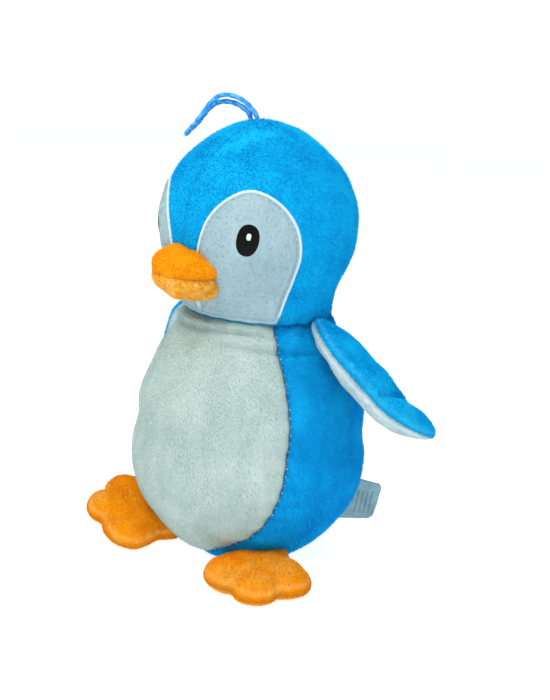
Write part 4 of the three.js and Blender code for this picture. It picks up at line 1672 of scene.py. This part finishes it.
@dataclass
class HangLoop:
    """The cord loop on the crown. Its route is given in millimetres."""

    route: tuple = (
        (1.2, -11.2, 233.4), (0, -12.2, 236.8), (-2.6, -13.9, 240.2), (-6.6, -16.1, 243.3),
        (-11.6, -19.1, 245), (-16.6, -22.2, 244.4), (-19.7, -25.1, 240.8), (-21.5, -28.5, 235.6),
        (-23.4, -31.3, 230.3), (-26.8, -32.8, 226.2), (-30.8, -31.3, 223.6), (-31.9, -27.6, 225.9),
        (-30.2, -24.6, 229.2), (-27, -23.4, 233.6), (-23.6, -22, 238), (-19.6, -20, 240.9),
        (-15.2, -17.8, 241.7), (-10.8, -15.6, 240.9), (-7.2, -13.6, 239), (-4.9, -12, 236.6),
        (-4.1, -11.3, 233.6))
    diameter: float = 2.6 * MM
    around: int = 18
    plait: float = 0.17
    turns_per_metre: float = 105.0

    def centre_line(self) -> np.ndarray:
        """Dense even points along the cord."""
        return through(np.array(self.route) * MM, 361)

    def build(self) -> None:
        """Makes the plaited cord."""
        line = self.centre_line()
        along = np.gradient(line, axis=0)
        along /= np.linalg.norm(along, axis=1, keepdims=True)
        side = np.cross(along[0], [0, 1, 0])
        sides = []
        for way in along:
            side = side - way * np.dot(side, way)
            side /= np.linalg.norm(side)
            sides.append(side)
        sides = np.array(sides)
        across = np.cross(along, sides)
        span = np.linalg.norm(np.diff(line, axis=0), axis=1).sum()
        travel = np.linspace(0, span, len(line))[:, None]
        turn = steps(self.around + 1, 0.0, 2 * np.pi)[None, :-1]
        wind = 2 * np.pi * self.turns_per_metre * travel
        over = np.cos(3 * turn + wind) * np.cos(3 * turn - wind)
        radius = self.diameter / 2 * (1 - self.plait / 2 + self.plait * over)
        rings = line[:, None] + radius[..., None] * (
            np.cos(turn)[..., None] * sides[:, None] + np.sin(turn)[..., None] * across[:, None])
        piece = solid_of_rings("hang_loop", rings)
        dressed(piece, CORD_FINISH, "loop_cord", "hang_loop")
        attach(piece, "head")
        LOG.info("hanging loop: %.1f mm of cord", span / MM)


@dataclass
class CareLabel:
    """A folded tape that stands out from the left back seam."""

    skin: Skin
    azimuth: float = 135.0
    edge: tuple = ((76, 37.6), (77.2, 36), (77, 30), (75.5, 21), (73.4, 16.4), (71.5, 15.2))
    low: float = 14 * MM
    high: float = 40 * MM
    open_gap: float = 0.45 * MM
    fold_at: float = 0.12  # share of the tape that the fold takes
    tape: float = 0.22 * MM

    def build(self) -> None:
        """Makes the two layers and the fold that joins them."""
        v = steps(60)[:, None]
        fold = Smooth([(z * MM, r * MM) for r, z in self.edge])
        z_root = self.low + (self.high - self.low) * v
        z_far = 15.6 * MM + (37.0 - 15.6) * MM * v
        r_root = self.skin.body(z_root) - 0.5 * MM
        r_far = fold(z_far)
        u = steps(64, -1.0, 1.0)[None, :]
        out = 1 - np.abs(u)
        z = z_root + (z_far - z_root) * out
        r = r_root + (r_far - r_root) * out
        fold_share = np.clip((self.fold_at - np.abs(u)) / self.fold_at, 0, 1)
        gap = self.open_gap * np.sqrt(np.clip(1 - fold_share ** 2, 0, 1)) * np.sign(u)
        wave = 0.9 * MM * np.sin(2.6 * v + 0.5) * out ** 1.5 + 0.25 * MM * np.sin(9 * v + 4 * out)
        aside = gap + wave + 0 * z
        angle = math.radians(self.azimuth)
        x = r * math.sin(angle) + aside * math.cos(angle)
        y = -r * math.cos(angle) + aside * math.sin(angle)
        grid = np.stack([x, y, z], -1)
        normal = normals_of(grid, False)
        inner = grid - normal * self.tape
        piece = cloth_shell("care_label", grid, self.tape, pile=np.zeros_like(z), inner=inner)
        bars = self.bars(piece, out)
        attribute = piece.data.attributes.new("bars", "FLOAT", "POINT")
        attribute.data.foreach_set("value", bars.astype(np.float32))
        dressed(piece, LABEL_TAPE, "label_tape", "care_label")
        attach(piece, "label")

    def bars(self, piece: bpy.types.Object, out: np.ndarray) -> np.ndarray:
        """Plain blurred bars across the tape, with no lettering in them."""
        points = np.array([v.co for v in piece.data.vertices])
        z = points[:, 2] / MM
        reach = np.hypot(points[:, 0], points[:, 1]) / MM
        line = bell((reach - 0.12 * z) % 2.6 - 1.3, 0.55)
        return 0.6 * line * smoothstep(61, 62, reach) * (1 - smoothstep(74, 74.6, reach)) * \
            smoothstep(18.5, 19, z) * (1 - smoothstep(32, 32.5, z))


# ---- camera, light and floor ----


@dataclass
class Studio:
    """A pale floor, soft light and the camera."""

    target: tuple[float, float, float] = (0.0, 0.0, 0.1188)
    azimuth: float = 45.0
    elevation: float = 15.0
    distance: float = 0.55
    roll: float = 4.3
    lens: float = 51.84
    shift: tuple[float, float] = (19 / 700, -15 / 700)

    def camera(self) -> None:
        """Creates the camera."""
        data = bpy.data.cameras.new("camera")
        data.lens, data.sensor_width = self.lens, 36.0
        data.shift_x, data.shift_y = self.shift
        camera = bpy.data.objects.new("camera", data)
        bpy.context.scene.collection.objects.link(camera)
        a, e = math.radians(self.azimuth), math.radians(self.elevation)
        back = Vector((math.sin(a) * math.cos(e), -math.cos(a) * math.cos(e), math.sin(e)))
        camera.location = Vector(self.target) + back * self.distance
        turn = (-back).to_track_quat("-Z", "Y").to_matrix().to_4x4()
        spin = Matrix.Rotation(math.radians(self.roll), 4, "Z")
        camera.matrix_world = Matrix.Translation(camera.location) @ turn @ spin
        bpy.context.scene.camera = camera

    def light(self, name: str, azimuth: float, elevation: float, distance: float, size: float,
              power: float, tint: str) -> None:
        """Adds a soft square light that looks at the toy.

        Args:
            name: Its name.
            azimuth: Where it stands, in degrees from the front.
            elevation: How high.
            distance: How far.
            size: Its side.
            power: In watts.
            tint: Its colour.
        """
        data = bpy.data.lights.new(name, "AREA")
        data.size, data.energy, data.color = size, power, rgb(tint)[:3]
        lamp = bpy.data.objects.new(name, data)
        bpy.context.scene.collection.objects.link(lamp)
        a, e = math.radians(azimuth), math.radians(elevation)
        away = Vector((math.sin(a) * math.cos(e), -math.cos(a) * math.cos(e), math.sin(e)))
        lamp.matrix_world = Matrix.Translation(Vector(self.target) + away * distance) @ \
            away.to_track_quat("Z", "Y").to_matrix().to_4x4()

    def surroundings(self) -> None:
        """Sets the white background, dimmer as a light than as seen."""
        world = bpy.data.worlds.new("studio")
        bpy.context.scene.world = world
        world.use_nodes = True
        tree = world.node_tree
        tree.nodes.clear()
        seen = tree.nodes.new("ShaderNodeBackground")
        seen.inputs[0].default_value = (1, 1, 1, 1)
        seen.inputs[1].default_value = 1.05
        glow = tree.nodes.new("ShaderNodeBackground")
        glow.inputs[0].default_value = rgb("eef4fa")
        glow.inputs[1].default_value = 0.34
        path = tree.nodes.new("ShaderNodeLightPath")
        mixed = tree.nodes.new("ShaderNodeMixShader")
        out = tree.nodes.new("ShaderNodeOutputWorld")
        tree.links.new(path.outputs["Is Camera Ray"], mixed.inputs[0])
        tree.links.new(glow.outputs[0], mixed.inputs[1])
        tree.links.new(seen.outputs[0], mixed.inputs[2])
        tree.links.new(mixed.outputs[0], out.inputs[0])

    def floor(self) -> None:
        """Lays the pale floor."""
        half = 3.0
        mesh = bpy.data.meshes.new("floor")
        mesh.from_pydata([(-half, -half, -0.3 * MM), (half, -half, -0.3 * MM), (half, half, -0.3 * MM),
                          (-half, half, -0.3 * MM)], [], [(0, 1, 2, 3)])
        floor = bpy.data.objects.new("floor", mesh)
        bpy.context.scene.collection.objects.link(floor)
        nodes = Nodes("studio floor")
        nodes.set(Base_Color=(0.62, 0.62, 0.62, 1), Roughness=0.95, Specular_IOR_Level=0.0,
                  Emission_Color=(1, 1, 1, 1), Emission_Strength=0.8)
        mesh.materials.append(nodes.material)

    def build(self) -> None:
        """Sets up everything round the toy."""
        self.camera()
        self.surroundings()
        self.floor()
        self.light("key", 10, 52, 1.1, 0.7, 11.0, "fff8f0")
        self.light("fill", 100, 25, 1.2, 0.9, 4.0, "eef6ff")
        self.light("back", 225, 45, 1.2, 0.8, 3.0, "f4f8ff")
        bpy.context.scene.view_settings.view_transform = "Standard"


def main() -> None:
    """Builds the toy and the studio."""
    logging.basicConfig(level=logging.INFO, format="%(name)s: %(message)s")
    Studio().build()
    HangLoop().build()
    skin, needle = Skin(), Needle()
    Torso(skin, needle).build()
    Head(skin, needle).build()
    Wing(Side.LEFT, needle, (-22, 35, 7)).build()
    Wing(Side.RIGHT, needle, (-4, 55, 16)).build()
    Foot(Side.LEFT, needle, (0, 0, -50)).build()
    Foot(Side.RIGHT, needle, (18, -11, -58)).build()
    CareLabel(skin).build()


if __name__ == "__main__":
    main()
